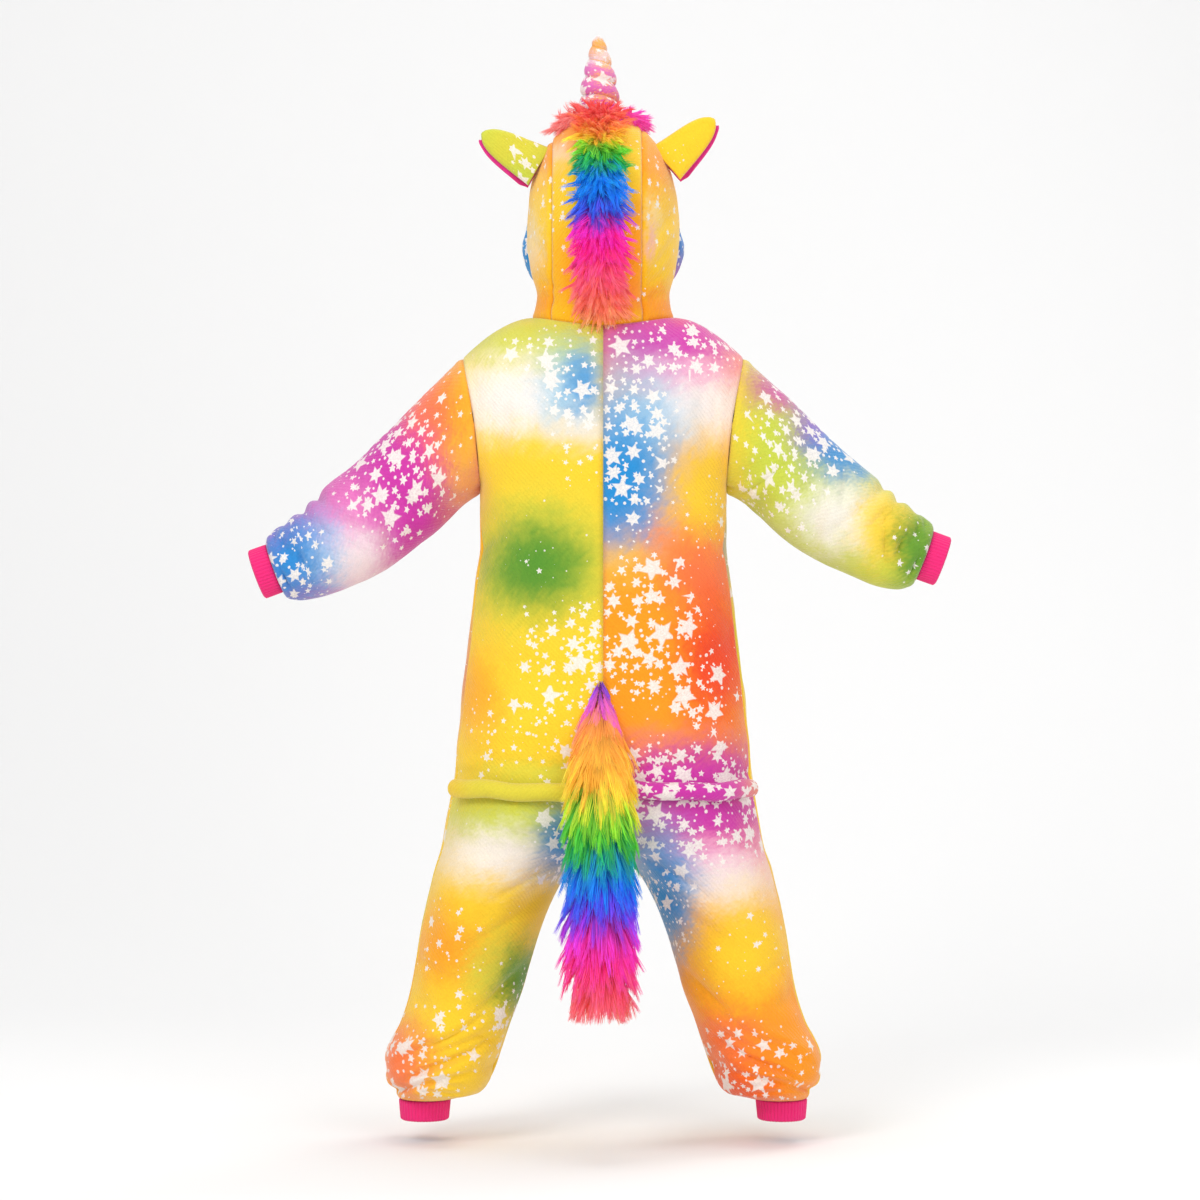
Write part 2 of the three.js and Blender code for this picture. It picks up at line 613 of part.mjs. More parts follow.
function addHoodPanel(name, columns, from, to, color) {
  const point = (u, v) => {
    const at = step(HOOD_STATIONS, v);
    return hoodPoint(from(at) + u * (to(at) - from(at)), at);
  };
  const seam = SEAM / 2;
  const trim = { first: seam, last: seam, top: 0, bottom: seam };
  const rows = HOOD_STATIONS.length - 1;
  add(name, wall({ columns, rows, point, hint: fromHood, trim }), color);
}

function addHood() {
  const left = (at) => hoodSeamAngle(HOOD_SEAM.left, at);
  const right = (at) => hoodSeamAngle(HOOD_SEAM.right, at);
  addHoodPanel("hood_centre", CENTRE_COLUMNS, left, right, COLORS.orange);
  addHoodPanel("hood_side_left", SIDE_COLUMNS, left, (at) => -hoodEnd(at), COLORS.orange);
  addHoodPanel("hood_side_right", SIDE_COLUMNS, right, hoodEnd, COLORS.yellow);
}

// Edge of the face opening, up the left side, over the brow and down the right side, in steps that meet
// the corners of the panels.
function faceEdgeSteps() {
  const places = HOOD_STATIONS.map((at) => ({ round: -hoodEnd(at), at }));
  const stops = [-hoodEnd(1), hoodSeamAngle(HOOD_SEAM.left, 1), hoodSeamAngle(HOOD_SEAM.right, 1), hoodEnd(1)];
  [SIDE_COLUMNS, CENTRE_COLUMNS, SIDE_COLUMNS].forEach((count, k) => {
    for (let i = 1; i <= count; i += 1) places.push({ round: stops[k] + ((stops[k + 1] - stops[k]) * i) / count, at: 1 });
  });
  [...HOOD_STATIONS].reverse().slice(1).forEach((at) => places.push({ round: hoodEnd(at), at }));
  return places;
}

function addFaceBand() {
  const places = faceEdgeSteps();
  const rounds = places.map((place) => place.round);
  const ats = places.map((place) => place.at);
  const rows = places.length - 1;
  const forward = new THREE.Vector3(0, 1, 0);
  const root = (share) => hoodPoint(step(rounds, share), step(ats, share));
  const normalAt = (share) => hoodNormal(step(rounds, share), step(ats, share));
  const wayAt = (share) => {
    const sum = new THREE.Vector3();
    for (const k of [-1, -0.5, 0, 0.5, 1]) {
      const here = clamp(share + (k * 1.6) / rows, 0.01, 0.99);
      const along = root(here + 0.01).sub(root(here - 0.01));
      sum.add(normalAt(here).cross(along).normalize());
    }
    sum.normalize();
    return sum.dot(forward) < 0 ? sum.negate() : sum;
  };
  const point = (u, v) => {
    const cheek = Math.exp(-(((step(ats, v) - BAND_FLARE.at) / BAND_FLARE.reach) ** 2));
    const flare = BAND_FLARE.all + BAND_FLARE.cheeks * cheek;
    return root(v)
      .addScaledVector(wayAt(v), BAND_GAP + BAND_WIDTH * u)
      .addScaledVector(normalAt(v), flare * Math.sin(Math.PI * 0.6 * clamp(u, 0, 1)));
  };
  add("hood_face_band", wall({ columns: 3, rows, point, hint: fromHood }), COLORS.blue);
}

const EAR_SEAT = 0.8;

// A flat leaf of an ear, drawn from the hood out to the tip. shift moves it forward, spread lets the
// lining stand past the outer cloth at the lower edge.
function earPoint(half, u, v, shift, spread) {
  const ear = EAR[back(half)];
  const root = new THREE.Vector3(ear.x, ear.y, ear.z);
  const length = new THREE.Vector3(ear.tipX - ear.x, 0, ear.tipZ - ear.z);
  const way = length.clone().normalize();
  const side = new THREE.Vector3(-way.z * half, 0, way.x * half);
  const outline = (0.93 - 0.38 * v) * Math.sqrt(Math.max(0.1, 1 - v ** 6));
  const across = (u - 0.5) * ear.width * outline - spread * (1 - u) * ease(v * 6);
  const cup = 7 * (1 - (2 * u - 1) ** 2) * (1 - 0.5 * v);
  const seat = root.clone().addScaledVector(side, across).add(new THREE.Vector3(0, shift - cup, 0));
  const hood = hoodAt("y", "z", [seat.y, seat.z], [half * 1.3, 0.6]);
  const foot = hood.point.clone().addScaledVector(hood.normal, EAR_SEAT);
  return foot.lerp(seat, ease(v / 0.4)).addScaledVector(length, v);
}

function addEar(half) {
  const end = back(half);
  const rows = 7;
  const leaf = (shift, spread, name, color, relief) => {
    const point = (u, v) => earPoint(half, clamp(u, 0, 1), v, shift, spread);
    const hint = () => new THREE.Vector3(0, shift > 0 ? 1 : -1, 0);
    add(`${name}_${end}`, wall({ columns: 6, rows, point, hint, relief }), color);
  };
  leaf(0, 0, "ear_back", half < 0 ? COLORS.lime : COLORS.yellow);
  leaf(WALL * 2 + 3, 4, "ear_lining", COLORS.pink);
}

function addHorn() {
  const sides = 20;
  const rows = 22;
  const rings = [];
  const radius = (share, turn) => {
    const ring = read(HORN_RINGS, "at", "ring", share) + turn;
    const bulge = Math.abs(Math.sin(Math.PI * ring)) ** 0.6;
    const taper = read(HORN_SHAPE, "at", "radius", share);
    return taper * (1 - HORN.groove + HORN.groove * bulge);
  };
  const seat = (x, y) => hoodAt("x", "y", [x, y], [0, 0.86]).point.z + LAID;
  for (let j = 0; j <= rows; j += 1) {
    const share = j / rows;
    const ring = [];
    for (let i = 0; i < sides; i += 1) {
      const angle = (i / sides) * 2 * Math.PI;
      const r = radius(share, i / sides) * Math.sqrt(Math.max(0.05, 1 - Math.max(0, (share - 0.93) / 0.07) ** 2));
      const x = HORN.x + (HORN.tipX - HORN.x) * share + r * Math.cos(angle);
      const y = HORN.y + (HORN.tipY - HORN.y) * share + r * Math.sin(angle);
      const foot = seat(x, y);
      ring.push(new THREE.Vector3(x, y, foot + (HORN.tipZ - foot) * share));
    }
    rings.push(ring);
  }
  for (const share of [0.7, 0.35]) {
    rings.unshift(
      rings[0].map((p, i) => {
        const angle = (i / sides) * 2 * Math.PI;
        const r = radius(0, i / sides) * share;
        const x = HORN.x + r * Math.cos(angle);
        const y = HORN.y + r * Math.sin(angle);
        return new THREE.Vector3(x, y, seat(x, y));
      }),
    );
  }
  const first = new THREE.Vector3(HORN.x, HORN.y, seat(HORN.x, HORN.y));
  const last = new THREE.Vector3(HORN.tipX, HORN.tipY, HORN.tipZ + 0.8);
  add("horn", stack(rings, first, last), COLORS.pink);
}

// Pile strips. Each is one solid that reaches as far as the pile does.
function addMane() {
  const rows = 16;
  const half = 31;
  const middle = -4;
  const point = (u, v) => {
    const at = 0.035 + (0.745 - 0.035) * v;
    const x = middle + half * (2 * u - 1) * (0.75 + 0.25 * Math.sin(Math.PI * Math.min(1, v * 1.4)));
    return hoodPoint(hoodSeamAngle(x, at), at);
  };
  const lock = (v) => 3 * Math.abs(Math.sin(v * rows * 0.5 * Math.PI));
  const relief = (u, v) => (15 + lock(v)) * Math.sqrt(Math.max(0, 1 - (2 * u - 1) ** 2)) + 0.5;
  add("mane", wall({ columns: 6, rows, point, hint: fromHood, thick: 2, lift: LAID + 2.4, relief }), COLORS.violet);
}

function addForelock() {
  const sides = 24;
  const ringAt = (grow, rise) => {
    const ring = [];
    for (let i = 0; i < sides; i += 1) {
      const angle = (i / sides) * 2 * Math.PI;
      const wide = HORN.root + 1.6 + grow * (60 - HORN.root);
      const deep = HORN.root + 1.6 + grow * (33 - HORN.root);
      const x = HORN.x + wide * Math.cos(angle);
      const y = HORN.y + deep * Math.sin(angle);
      const hood = hoodAt("x", "y", [x, y], [x / 95, 0.86]);
      ring.push(hood.point.clone().addScaledVector(hood.normal, LAID + 0.4 + rise + (i % 2 ? 0 : 2) * ease(rise / 8)));
    }
    return ring;
  };
  const loops = [ringAt(0, 0), ringAt(0.35, 0), ringAt(0.7, 0), ringAt(1, 0), ringAt(1.04, 8), ringAt(0.6, 17), ringAt(0.1, 17)];
  const points = loops.flat();
  const faces = [];
  for (let j = 0; j < loops.length; j += 1) {
    const up = (j + 1) % loops.length;
    for (let i = 0; i < sides; i += 1) {
      const next = (i + 1) % sides;
      faces.push(...quad(j * sides + i, j * sides + next, up * sides + next, up * sides + i));
    }
  }
  add("forelock", solid(points, faces), COLORS.coral);
}

function addTail() {
  const sides = 16;
  const rows = 2 * TAIL_LAYERS;
  const top = TAIL[0];
  const bottom = TAIL[TAIL.length - 1];
  const rings = [];
  for (let j = 0; j <= rows; j += 1) {
    const z = top.z + ((bottom.z - top.z) * j) / rows;
    const flare = j % 2 ? 1 : 0.93;
    rings.push(
      Array.from({ length: sides }, (_, i) => {
        const angle = (i / sides) * 2 * Math.PI;
        const tuft = (i + j) % 2 ? 1 : 0.95;
        return new THREE.Vector3(
          TAIL_X + read(TAIL, "z", "wide", z) * flare * tuft * Math.cos(angle),
          read(TAIL, "z", "y", z) + read(TAIL, "z", "deep", z) * flare * tuft * Math.sin(angle),
          z,
        );
      }),
    );
  }
  const first = new THREE.Vector3(TAIL_X, top.y, top.z + 2);
  const last = new THREE.Vector3(TAIL_X, bottom.y, bottom.z - 2);
  add("tail", stack(rings, first, last), COLORS.violet);
}

const WELT_END = 0.42;

// Rolled tube over the seam between back and seat, from side seam to side seam.
function addWelt() {
  const radius = 11.5;
  const steps = 28;
  const sides = 8;
  const path = (share) => {
    const half = share < 0 ? -1 : 1;
    const angle = -Math.PI / 2 + Math.abs(share) * (Math.PI / 2 - WELT_END);
    return bodyPoint(half, angle, SEAM_LEVELS.welt, "back");
  };
  const rings = [];
  for (let j = 0; j <= steps; j += 1) {
    const share = -1 + (2 * j) / steps;
    const round = Math.sqrt(Math.max(0.06, 1 - Math.max(0, (Math.abs(share) - 0.965) / 0.035) ** 2));
    const along = path(share + 0.01).sub(path(share - 0.01)).normalize();
    const out = new THREE.Vector3(along.y, -along.x, 0).normalize();
    const middle = path(share).addScaledVector(out, radius + LAID + 0.5);
    rings.push(
      Array.from({ length: sides }, (_, i) => {
        const angle = (i / sides) * 2 * Math.PI;
        return middle
          .clone()
          .addScaledVector(out, radius * round * Math.cos(angle))
          .add(new THREE.Vector3(0, 0, radius * round * Math.sin(angle)));
      }),
    );
  }
  const centre = (ring) => ring.reduce((sum, p) => sum.add(p), new THREE.Vector3()).divideScalar(sides);
  add("welt", stack(rings, centre(rings[0]), centre(rings[steps])), COLORS.magenta);
}

const frontAt = (x, z) => new THREE.Vector3(x, trunkDepth(x, z, "front"), z);

// Button strip down the front, with plain four-hole buttons.
function addPlacket() {
  const rows = 16;
  const point = (u, v) => frontAt(PLACKET.half * (2 * u - 1), PLACKET.top + (PLACKET.bottom - PLACKET.top) * v);
  const hint = () => new THREE.Vector3(0, 1, 0);
  add("placket", wall({ columns: 4, rows, point, hint, lift: LAID + WALL }), COLORS.yellow);
  for (let k = 0; k < BUTTONS.count; k += 1) {
    const z = BUTTONS.top - BUTTONS.pitch * k;
    const disc = new THREE.Shape().absarc(0, 0, BUTTONS.radius, 0, 2 * Math.PI);
    for (const [sx, sy] of [[1, 1], [-1, 1], [-1, -1], [1, -1]]) {
      const hole = new THREE.Path().absarc(sx * BUTTONS.spread, sy * BUTTONS.spread, BUTTONS.hole, 0, 2 * Math.PI, true);
      disc.holes.push(hole);
    }
    const geometry = new THREE.ExtrudeGeometry(disc, { depth: BUTTONS.thick, bevelEnabled: false, curveSegments: 5 });
    const away = frontAt(0, z - 8).sub(frontAt(0, z + 8)).normalize();
    const normal = new THREE.Vector3(0, -away.z, away.y);
    const mesh = add(`button_${k + 1}`, geometry, COLORS.pink, 0.4);
    mesh.quaternion.setFromUnitVectors(new THREE.Vector3(0, 0, 1), normal);
    mesh.position.copy(frontAt(0, z).addScaledVector(normal, 2 * LAID + WALL));
  }
}

for (const half of [-1, 1]) {
  addBody(half);
  addSleeve(half);
  addCuff(half);
  addAnkleCuff(half);
  addEar(half);
}
addHood();
addFaceBand();
addHorn();
addForelock();
addMane();
addTail();
addWelt();
addPlacket();

export default garment;
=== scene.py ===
import math

import bpy
import numpy as np
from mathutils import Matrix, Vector


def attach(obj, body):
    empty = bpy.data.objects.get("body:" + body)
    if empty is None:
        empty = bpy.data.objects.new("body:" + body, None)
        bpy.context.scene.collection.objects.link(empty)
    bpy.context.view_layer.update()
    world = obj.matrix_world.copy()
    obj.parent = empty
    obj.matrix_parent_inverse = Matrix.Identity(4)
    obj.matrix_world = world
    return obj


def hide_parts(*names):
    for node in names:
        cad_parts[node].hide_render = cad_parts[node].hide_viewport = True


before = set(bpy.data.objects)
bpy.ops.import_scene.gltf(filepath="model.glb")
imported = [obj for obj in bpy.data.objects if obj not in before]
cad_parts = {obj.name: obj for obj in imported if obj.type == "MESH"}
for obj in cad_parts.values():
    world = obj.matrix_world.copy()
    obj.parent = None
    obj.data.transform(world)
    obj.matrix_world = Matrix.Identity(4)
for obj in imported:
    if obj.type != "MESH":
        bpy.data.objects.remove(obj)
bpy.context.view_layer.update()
rng = np.random.default_rng(7)

MM = 0.001
CLOTH = 2.4
PI = math.pi

# Camera: the plane of the side seams shows 1.28 mm a pixel, and the photograph is 1200 pixels wide.
PHOTO_WIDTH = 1200 * 1.28
CAMERA_AWAY = 4600
CAMERA_X = -4
CAMERA_Z = -333
SENSOR = 36


def add_camera():
    camera = bpy.data.cameras.new("camera")
    camera.sensor_width = SENSOR
    camera.lens = SENSOR * CAMERA_AWAY / PHOTO_WIDTH
    camera.clip_end = 50
    holder = bpy.data.objects.new("camera", camera)
    holder.location = (CAMERA_X * MM, -CAMERA_AWAY * MM, CAMERA_Z * MM)
    holder.rotation_euler = (PI / 2, 0, 0)
    bpy.context.scene.collection.objects.link(holder)
    bpy.context.scene.camera = holder


add_camera()


def table(columns, *rows):
    """A short table as a dictionary of columns."""
    return {name: np.array([row[k] for row in rows], float) for k, name in enumerate(columns.split())}


# The garment's own sizes, as in the frame: half widths and depths of the trunk and legs by height.
BODY = table(
    "z out inner back front square",
    (60, 222, 0, 104, 104, 2.4),
    (-26, 218, 0, 104, 104, 2.4),
    (-110, 192, 0, 105, 106, 2.4),
    (-192, 157, 0, 101, 104, 2.4),
    (-255, 157, 0, 100, 103, 2.4),
    (-332, 166, 0, 100, 104, 2.4),
    (-448, 180, 0, 110, 106, 2.3),
    (-525, 187, 0, 122, 109, 2.3),
    (-571, 193, 0, 127, 110, 2.3),
    (-615, 199, 0, 126, 110, 2.25),
    (-650, 206, 0, 118, 106, 2.2),
    (-660, 209, 26, 114, 103, 2.2),
    (-678, 215, 43, 108, 99, 2.15),
    (-717, 225, 66, 97, 92, 2.1),
    (-755, 233, 81, 89, 87, 2.1),
    (-794, 239, 93, 84, 84, 2.1),
    (-832, 246, 104, 80, 81, 2.1),
    (-870, 258, 118, 79, 80, 2.1),
    (-909, 277, 131, 82, 82, 2.1),
    (-930, 281, 138, 83, 82, 2.1),
    (-949, 275, 147, 77, 77, 2.1),
    (-962, 264, 159, 62, 62, 2.05),
    (-970, 262, 194, 35, 35, 2),
)
SLEEVE = table(
    "at x z high deep lean",
    (0, 166, -110, 84, 66, 7),
    (0.2, 202, -139, 75, 66, 17),
    (0.45, 256, -192, 69, 62, 23),
    (0.7, 316, -240, 63, 58, 26),
    (0.84, 361, -268, 58, 54, 19),
    (0.93, 396, -284, 49, 47, 14),
    (0.975, 412, -290, 41, 40, 17),
    (1, 419, -292, 34, 33, 20),
)
HOOD = table(
    "at y z tilt back half end",
    (0, 0, 30, 0, 77, 90, 158),
    (0.12, 6, 56, 0, 88, 85, 135),
    (0.25, 20, 90, 0, 112, 93, 110),
    (0.4, 40, 132, 6, 141, 98, 98),
    (0.55, 45, 152, 22, 149, 98, 98),
    (0.7, 52, 170, 42, 138, 97, 96),
    (0.85, 60, 186, 65, 112, 92, 92),
    (1, 64, 187, 90, 96, 86, 74),
)
TAIL = table(
    "z wide deep y",
    (-444, 5, 3, -112.4),
    (-458, 17, 9, -121),
    (-490, 32, 19, -141),
    (-530, 42, 27, -166),
    (-571, 44, 31, -185),
    (-620, 45, 33, -191),
    (-700, 45, 34, -190),
    (-780, 46, 34, -187),
    (-820, 40, 29, -185),
    (-843, 22, 16, -184),
    (-851, 6, 5, -183),
)
ARMHOLE = table("z x", (-26, 180), (-110, 164), (-192, 157))
ARM = {-1: (1, 0), 1: (0.965, 17)}

NECK_X = 90
NECK_DEPTH = {"back": 76, "front": 82}
SHOULDER_X = 180
NECK_CORNER_Z = 27
SHOULDER_DROP = 53
ARMPIT_Z = -192
ROLL_START_Z = -100
ROLL_POWER = 3.4
UPPER_POWER = 1.5
WELT_Z = -571
CROTCH_Z = -650
FLOOR_Z = -1025
ANKLE_Z = -970
SIDE_SEAM_ANGLE = 0.2
HOOD_LEFT_SEAM = -66
HOOD_RIGHT_SEAM = 50
# The hood's foot tucks this far under the neck seam.
HOOD_TUCK = -2.5
HEAD_MIDDLE = np.array([0, 30, 150])


def ease(x):
    """A smooth step from 0 to 1."""
    x = np.clip(x, 0, 1)
    return x * x * (3 - 2 * x)


def signed_power(x, power):
    return np.sign(x) * np.abs(x) ** power


def read(rows, key, column, at):
    """A column read between its rows along a smooth line that never swings past them."""
    keys, values = rows[key], rows[column]
    at = np.asarray(at, float)
    if keys[-1] < keys[0]:
        keys, values = -keys, values
        at = -at
    slope = np.diff(values) / np.diff(keys)
    product = slope[:-1] * slope[1:]
    total = np.where(product > 0, slope[:-1] + slope[1:], 1)
    middle = np.where(product > 0, 2 * product / total, 0)
    tangent = np.concatenate([slope[:1], middle, slope[-1:]])
    i = np.clip(np.searchsorted(keys, at, side="right") - 1, 0, len(keys) - 2)
    span = keys[i + 1] - keys[i]
    t = np.clip((at - keys[i]) / span, 0, 1)
    rise = t * t * (3 - 2 * t)
    bend = tangent[i] * t * (1 - t) ** 2 - tangent[i + 1] * t * t * (1 - t)
    return values[i] * (1 - rise) + values[i + 1] * rise + span * bend


# Folds, a row for each: where along, where round, slant, reach round, width along and height.
FOLD_COLUMNS = "along round slant reach width height"
LEG_FOLDS = table(
    FOLD_COLUMNS,
    (-905, -1.0, -42, 0.75, 15, -7),
    (-880, -0.9, -42, 0.8, 14, 5),
    (-936, -0.7, -30, 0.7, 11, -4.5),
    (-820, -1.5, -60, 0.5, 16, -4.5),
    (-700, -1.6, -60, 0.5, 18, -4),
    (-905, 1.0, 40, 0.75, 15, -6.5),
    (-878, 1.1, 38, 0.8, 14, 5),
    (-935, 0.6, 30, 0.7, 11, -4.5),
    (-930, 0.05, 0, 0.45, 10, -4),
    (-925, -1.8, 14, 0.4, 10, -4),
    (-892, -0.75, -70, 0.35, 6, -4),
    (-921, -1.15, -36, 0.5, 7, 3.5),
    (-947, -1.2, 22, 0.4, 5, -3.5),
    (-950, -0.45, -12, 0.35, 5, -3.5),
    (-862, -1.3, -52, 0.4, 8, -3),
    (-845, -0.5, 26, 0.4, 12, -2.5),
    (-775, -0.9, -34, 0.6, 16, -2.5),
    (-640, -0.8, 24, 0.6, 16, -2.5),
    (-660, -1.45, -95, 0.35, 9, -3),
    (-850, 1.4, 52, 0.5, 9, -3),
    (-945, 1.2, 22, 0.45, 6, -3.5),
    (-760, 0.9, 34, 0.6, 16, -3),
    (-918, -1.0, -52, 0.8, 5, -4.5),
    (-910, -1.0, -52, 0.8, 6, 3.5),
    (-896, -0.8, -60, 0.6, 5, -4),
    (-941, -0.9, -24, 0.75, 4.5, -4.5),
    (-934, -0.9, -24, 0.7, 5, 3),
    (-955, -1.1, 10, 0.6, 4, -3.5),
    (-955, -0.3, -8, 0.5, 4, -3.5),
    (-868, -1.15, -85, 0.5, 6, -3.5),
    (-838, -1.35, -95, 0.4, 7, -3),
    (-888, -1.5, 40, 0.35, 5, -3),
    (-800, -0.55, 34, 0.5, 8, -2.5),
    (-735, -1.3, -80, 0.45, 9, -2.5),
    (-690, -1.2, -110, 0.3, 8, -2.5),
    (-625, -1.0, 22, 0.7, 7, -2.2),
    (-918, 1.0, 52, 0.8, 5, -4.5),
    (-941, 0.9, 24, 0.75, 4.5, -4.5),
    (-868, 1.15, 85, 0.5, 6, -3.5),
)
TRUNK_FOLDS = table(
    FOLD_COLUMNS,
    (-120, -0.45, -250, 0.16, 34, -4.5),
    (-120, 0.45, 250, 0.16, 34, -4.5),
    (-420, -0.6, 60, 0.6, 22, -3),
    (-500, -0.5, -40, 0.6, 20, 3),
    (-250, 0.7, -50, 0.6, 22, -3),
    (-105, -0.37, -300, 0.1, 16, -3),
    (-150, -0.55, -180, 0.13, 18, 2.5),
    (-255, -0.3, -90, 0.3, 10, -2.5),
    (-330, -0.45, -70, 0.35, 16, -2),
    (-540, -0.75, 26, 0.5, 10, -2.2),
    (-552, -0.25, -20, 0.3, 8, -2.2),
    (-380, 0.6, 60, 0.5, 20, -3),
    (-520, 0.5, -30, 0.6, 16, -3),
)
SLEEVE_FOLDS = table(
    FOLD_COLUMNS,
    (0.86, 0.1, 0.02, 1.0, 0.022, -6),
    (0.78, -0.2, 0.03, 0.9, 0.024, -5),
    (0.915, 0.3, -0.02, 0.9, 0.018, -5),
    (0.7, -1.7, 0.07, 1.0, 0.035, -5),
    (0.58, -2.1, -0.06, 0.8, 0.04, -4),
    (0.3, -2.6, 0.05, 0.7, 0.05, -5),
    (0.86, 2.9, 0.02, 1.1, 0.022, -6),
    (0.7, 1.7, -0.07, 1.0, 0.035, -5),
    (0.93, -1.2, 0.03, 0.7, 0.012, -4),
    (0.895, -1.6, -0.035, 0.6, 0.011, -3.5),
    (0.955, -2.2, 0.02, 0.6, 0.01, -3),
    (0.96, -0.5, -0.015, 0.5, 0.01, -3),
    (0.83, -1.1, 0.05, 0.6, 0.014, -3.5),
    (0.64, -1.2, -0.05, 0.7, 0.025, -2.5),
    (0.46, -1.8, 0.09, 0.8, 0.03, -3),
    (0.18, -2.2, 0.11, 0.6, 0.03, -3.5),
    (0.14, -0.9, -0.06, 0.5, 0.03, -2.5),
    (0.93, 1.4, 0.03, 0.8, 0.012, -4),
    (0.46, 1.7, -0.09, 0.8, 0.03, -3),
    (0.9, -1.5, 0.03, 0.8, 0.007, -3.2),
    (0.885, -1.4, 0.03, 0.7, 0.008, 2.2),
    (0.85, -1.7, -0.045, 0.7, 0.009, -3.2),
    (0.8, -1.2, 0.06, 0.6, 0.01, -2.8),
    (0.72, -2.0, 0.08, 0.6, 0.012, -2.4),
    (0.56, -1.4, -0.08, 0.5, 0.015, -2),
    (0.3, -1.9, 0.12, 0.7, 0.016, -2.4),
    (0.22, -2.5, 0.1, 0.6, 0.016, -2.6),
    (0.965, -1.9, 0.012, 0.5, 0.006, -3),
    (0.945, -1.0, -0.012, 0.5, 0.006, -3),
)
HOOD_FOLDS = table(
    FOLD_COLUMNS,
    (0.3, 0.95, 0.32, 0.45, 0.035, -2.2),
    (0.36, 1.05, 0.3, 0.4, 0.03, 1.6),
    (0.44, 1.0, 0.34, 0.4, 0.03, -2),
    (0.2, 0.9, 0.22, 0.4, 0.025, -2),
    (0.1, 0.8, 0.06, 0.5, 0.018, -2.2),
    (0.09, -0.8, -0.07, 0.5, 0.018, -2.4),
    (0.17, -1.0, -0.16, 0.4, 0.025, -2),
    (0.34, -1.1, -0.28, 0.4, 0.03, -1.8),
    (0.08, 0.1, 0.02, 0.5, 0.014, -1.6),
)


# Plush shows its creases deeper than the frame's plain walls carry them.
FOLD_GAIN = 1.5


def fold_height(folds, along, turn):
    """Height of the cloth over its plain form, from a table of folds."""
    height = np.zeros(np.broadcast(along, turn).shape)
    for k in range(len(folds["along"])):
        across = (turn - folds["round"][k]) / folds["reach"][k]
        line = folds["along"][k] + folds["slant"][k] * (turn - folds["round"][k])
        near = np.exp(-(((along - line) / folds["width"][k]) ** 2))
        height += folds["height"][k] * near * np.clip(1 - across * across, 0, 1) ** 2
    return FOLD_GAIN * height


def ridge_z(x):
    """Height of the shoulder seam over x."""
    inside = NECK_CORNER_Z + 0.175 * (NECK_X - x * x / NECK_X)
    outside = NECK_CORNER_Z - SHOULDER_DROP * (np.maximum(0, x - NECK_X) / (SHOULDER_X - NECK_X)) ** 1.7
    return np.where(x < NECK_X, inside, outside)


def trunk_depth(x, z, face):
    """Depth of the upper trunk, rolled in to the shoulder seam."""
    square = read(BODY, "z", "square", z)
    out = read(BODY, "z", "out", z)
    plan = np.maximum(0, 1 - (np.abs(x) / out) ** square) ** (1 / square)
    roll = np.clip((z - ROLL_START_Z) / (ridge_z(np.abs(x)) - ROLL_START_Z), 0, 1)
    return read(BODY, "z", face, z) * plan * np.sqrt(1 - roll**ROLL_POWER)


def top_z(x, face):
    """Height of a body panel's top edge, along the neck and then the shoulder."""
    neck = NECK_DEPTH[face] * np.sqrt(np.maximum(0, 1 - (x / NECK_X) ** 2))
    depth = trunk_depth(x, np.full(np.shape(x), float(ROLL_START_Z)), face)
    share = np.maximum(0, 1 - (neck / depth) ** 2) ** (1 / ROLL_POWER)
    return np.where(x >= NECK_X, ridge_z(x), ROLL_START_Z + share * (ridge_z(x) - ROLL_START_Z))


def widest_angle(z):
    """How far round a panel reaches: to the centre seam, and all round the inside of a leg."""
    return PI / 2 + PI / 2 * ease((WELT_Z - z) / (WELT_Z - CROTCH_Z))


def seam_angle(z):
    return SIDE_SEAM_ANGLE * ease((ARMPIT_Z - z) / 70)


def body_point(half, angle, level, face):
    """Points of the trunk and leg. level runs from -1 at the top edge to 0 at the armpit, then in mm down."""
    angle, level = np.broadcast_arrays(np.asarray(angle, float), np.asarray(level, float))
    turn = angle / (PI / 2)
    square = BODY["square"][0]
    share = np.abs(np.cos(angle)) ** (2 / square)
    lift = np.clip(level, -1, 0)
    top = top_z(share * SHOULDER_X, face)
    z_up = ARMPIT_Z + (top - ARMPIT_Z) * (1 - (1 + lift) ** UPPER_POWER)
    x_up = np.sign(np.cos(angle)) * share * read(ARMHOLE, "z", "x", z_up)
    crease = fold_height(TRUNK_FOLDS, z_up, turn) * ease(-lift * 4) * ease((1 + lift) * 4)
    y_up = trunk_depth(x_up, z_up, face) + crease
    y_up = -y_up if face == "back" else y_up
    z = ARMPIT_Z - np.maximum(0, level)
    square = read(BODY, "z", "square", z)
    out = read(BODY, "z", "out", z)
    reach = (out - read(BODY, "z", "inner", z)) / (1 - signed_power(np.cos(widest_angle(z)), 2 / square))
    depth = np.where(angle < 0, read(BODY, "z", "back", z), read(BODY, "z", "front", z))
    legs = ease((CROTCH_Z + 70 - z) / 30)
    rise = fold_height(LEG_FOLDS, z, turn) * legs + fold_height(TRUNK_FOLDS, z, turn) * (1 - legs)
    rise = rise * ease(level / 50)
    x = out - reach + reach * signed_power(np.cos(angle), 2 / square) + rise * np.cos(angle)
    y = depth * signed_power(np.sin(angle), 2 / square) + rise * np.sin(angle)
    upper = level < 0
    return np.stack([half * np.where(upper, x_up, x), np.where(upper, y_up, y), np.where(upper, z_up, z)], -1)


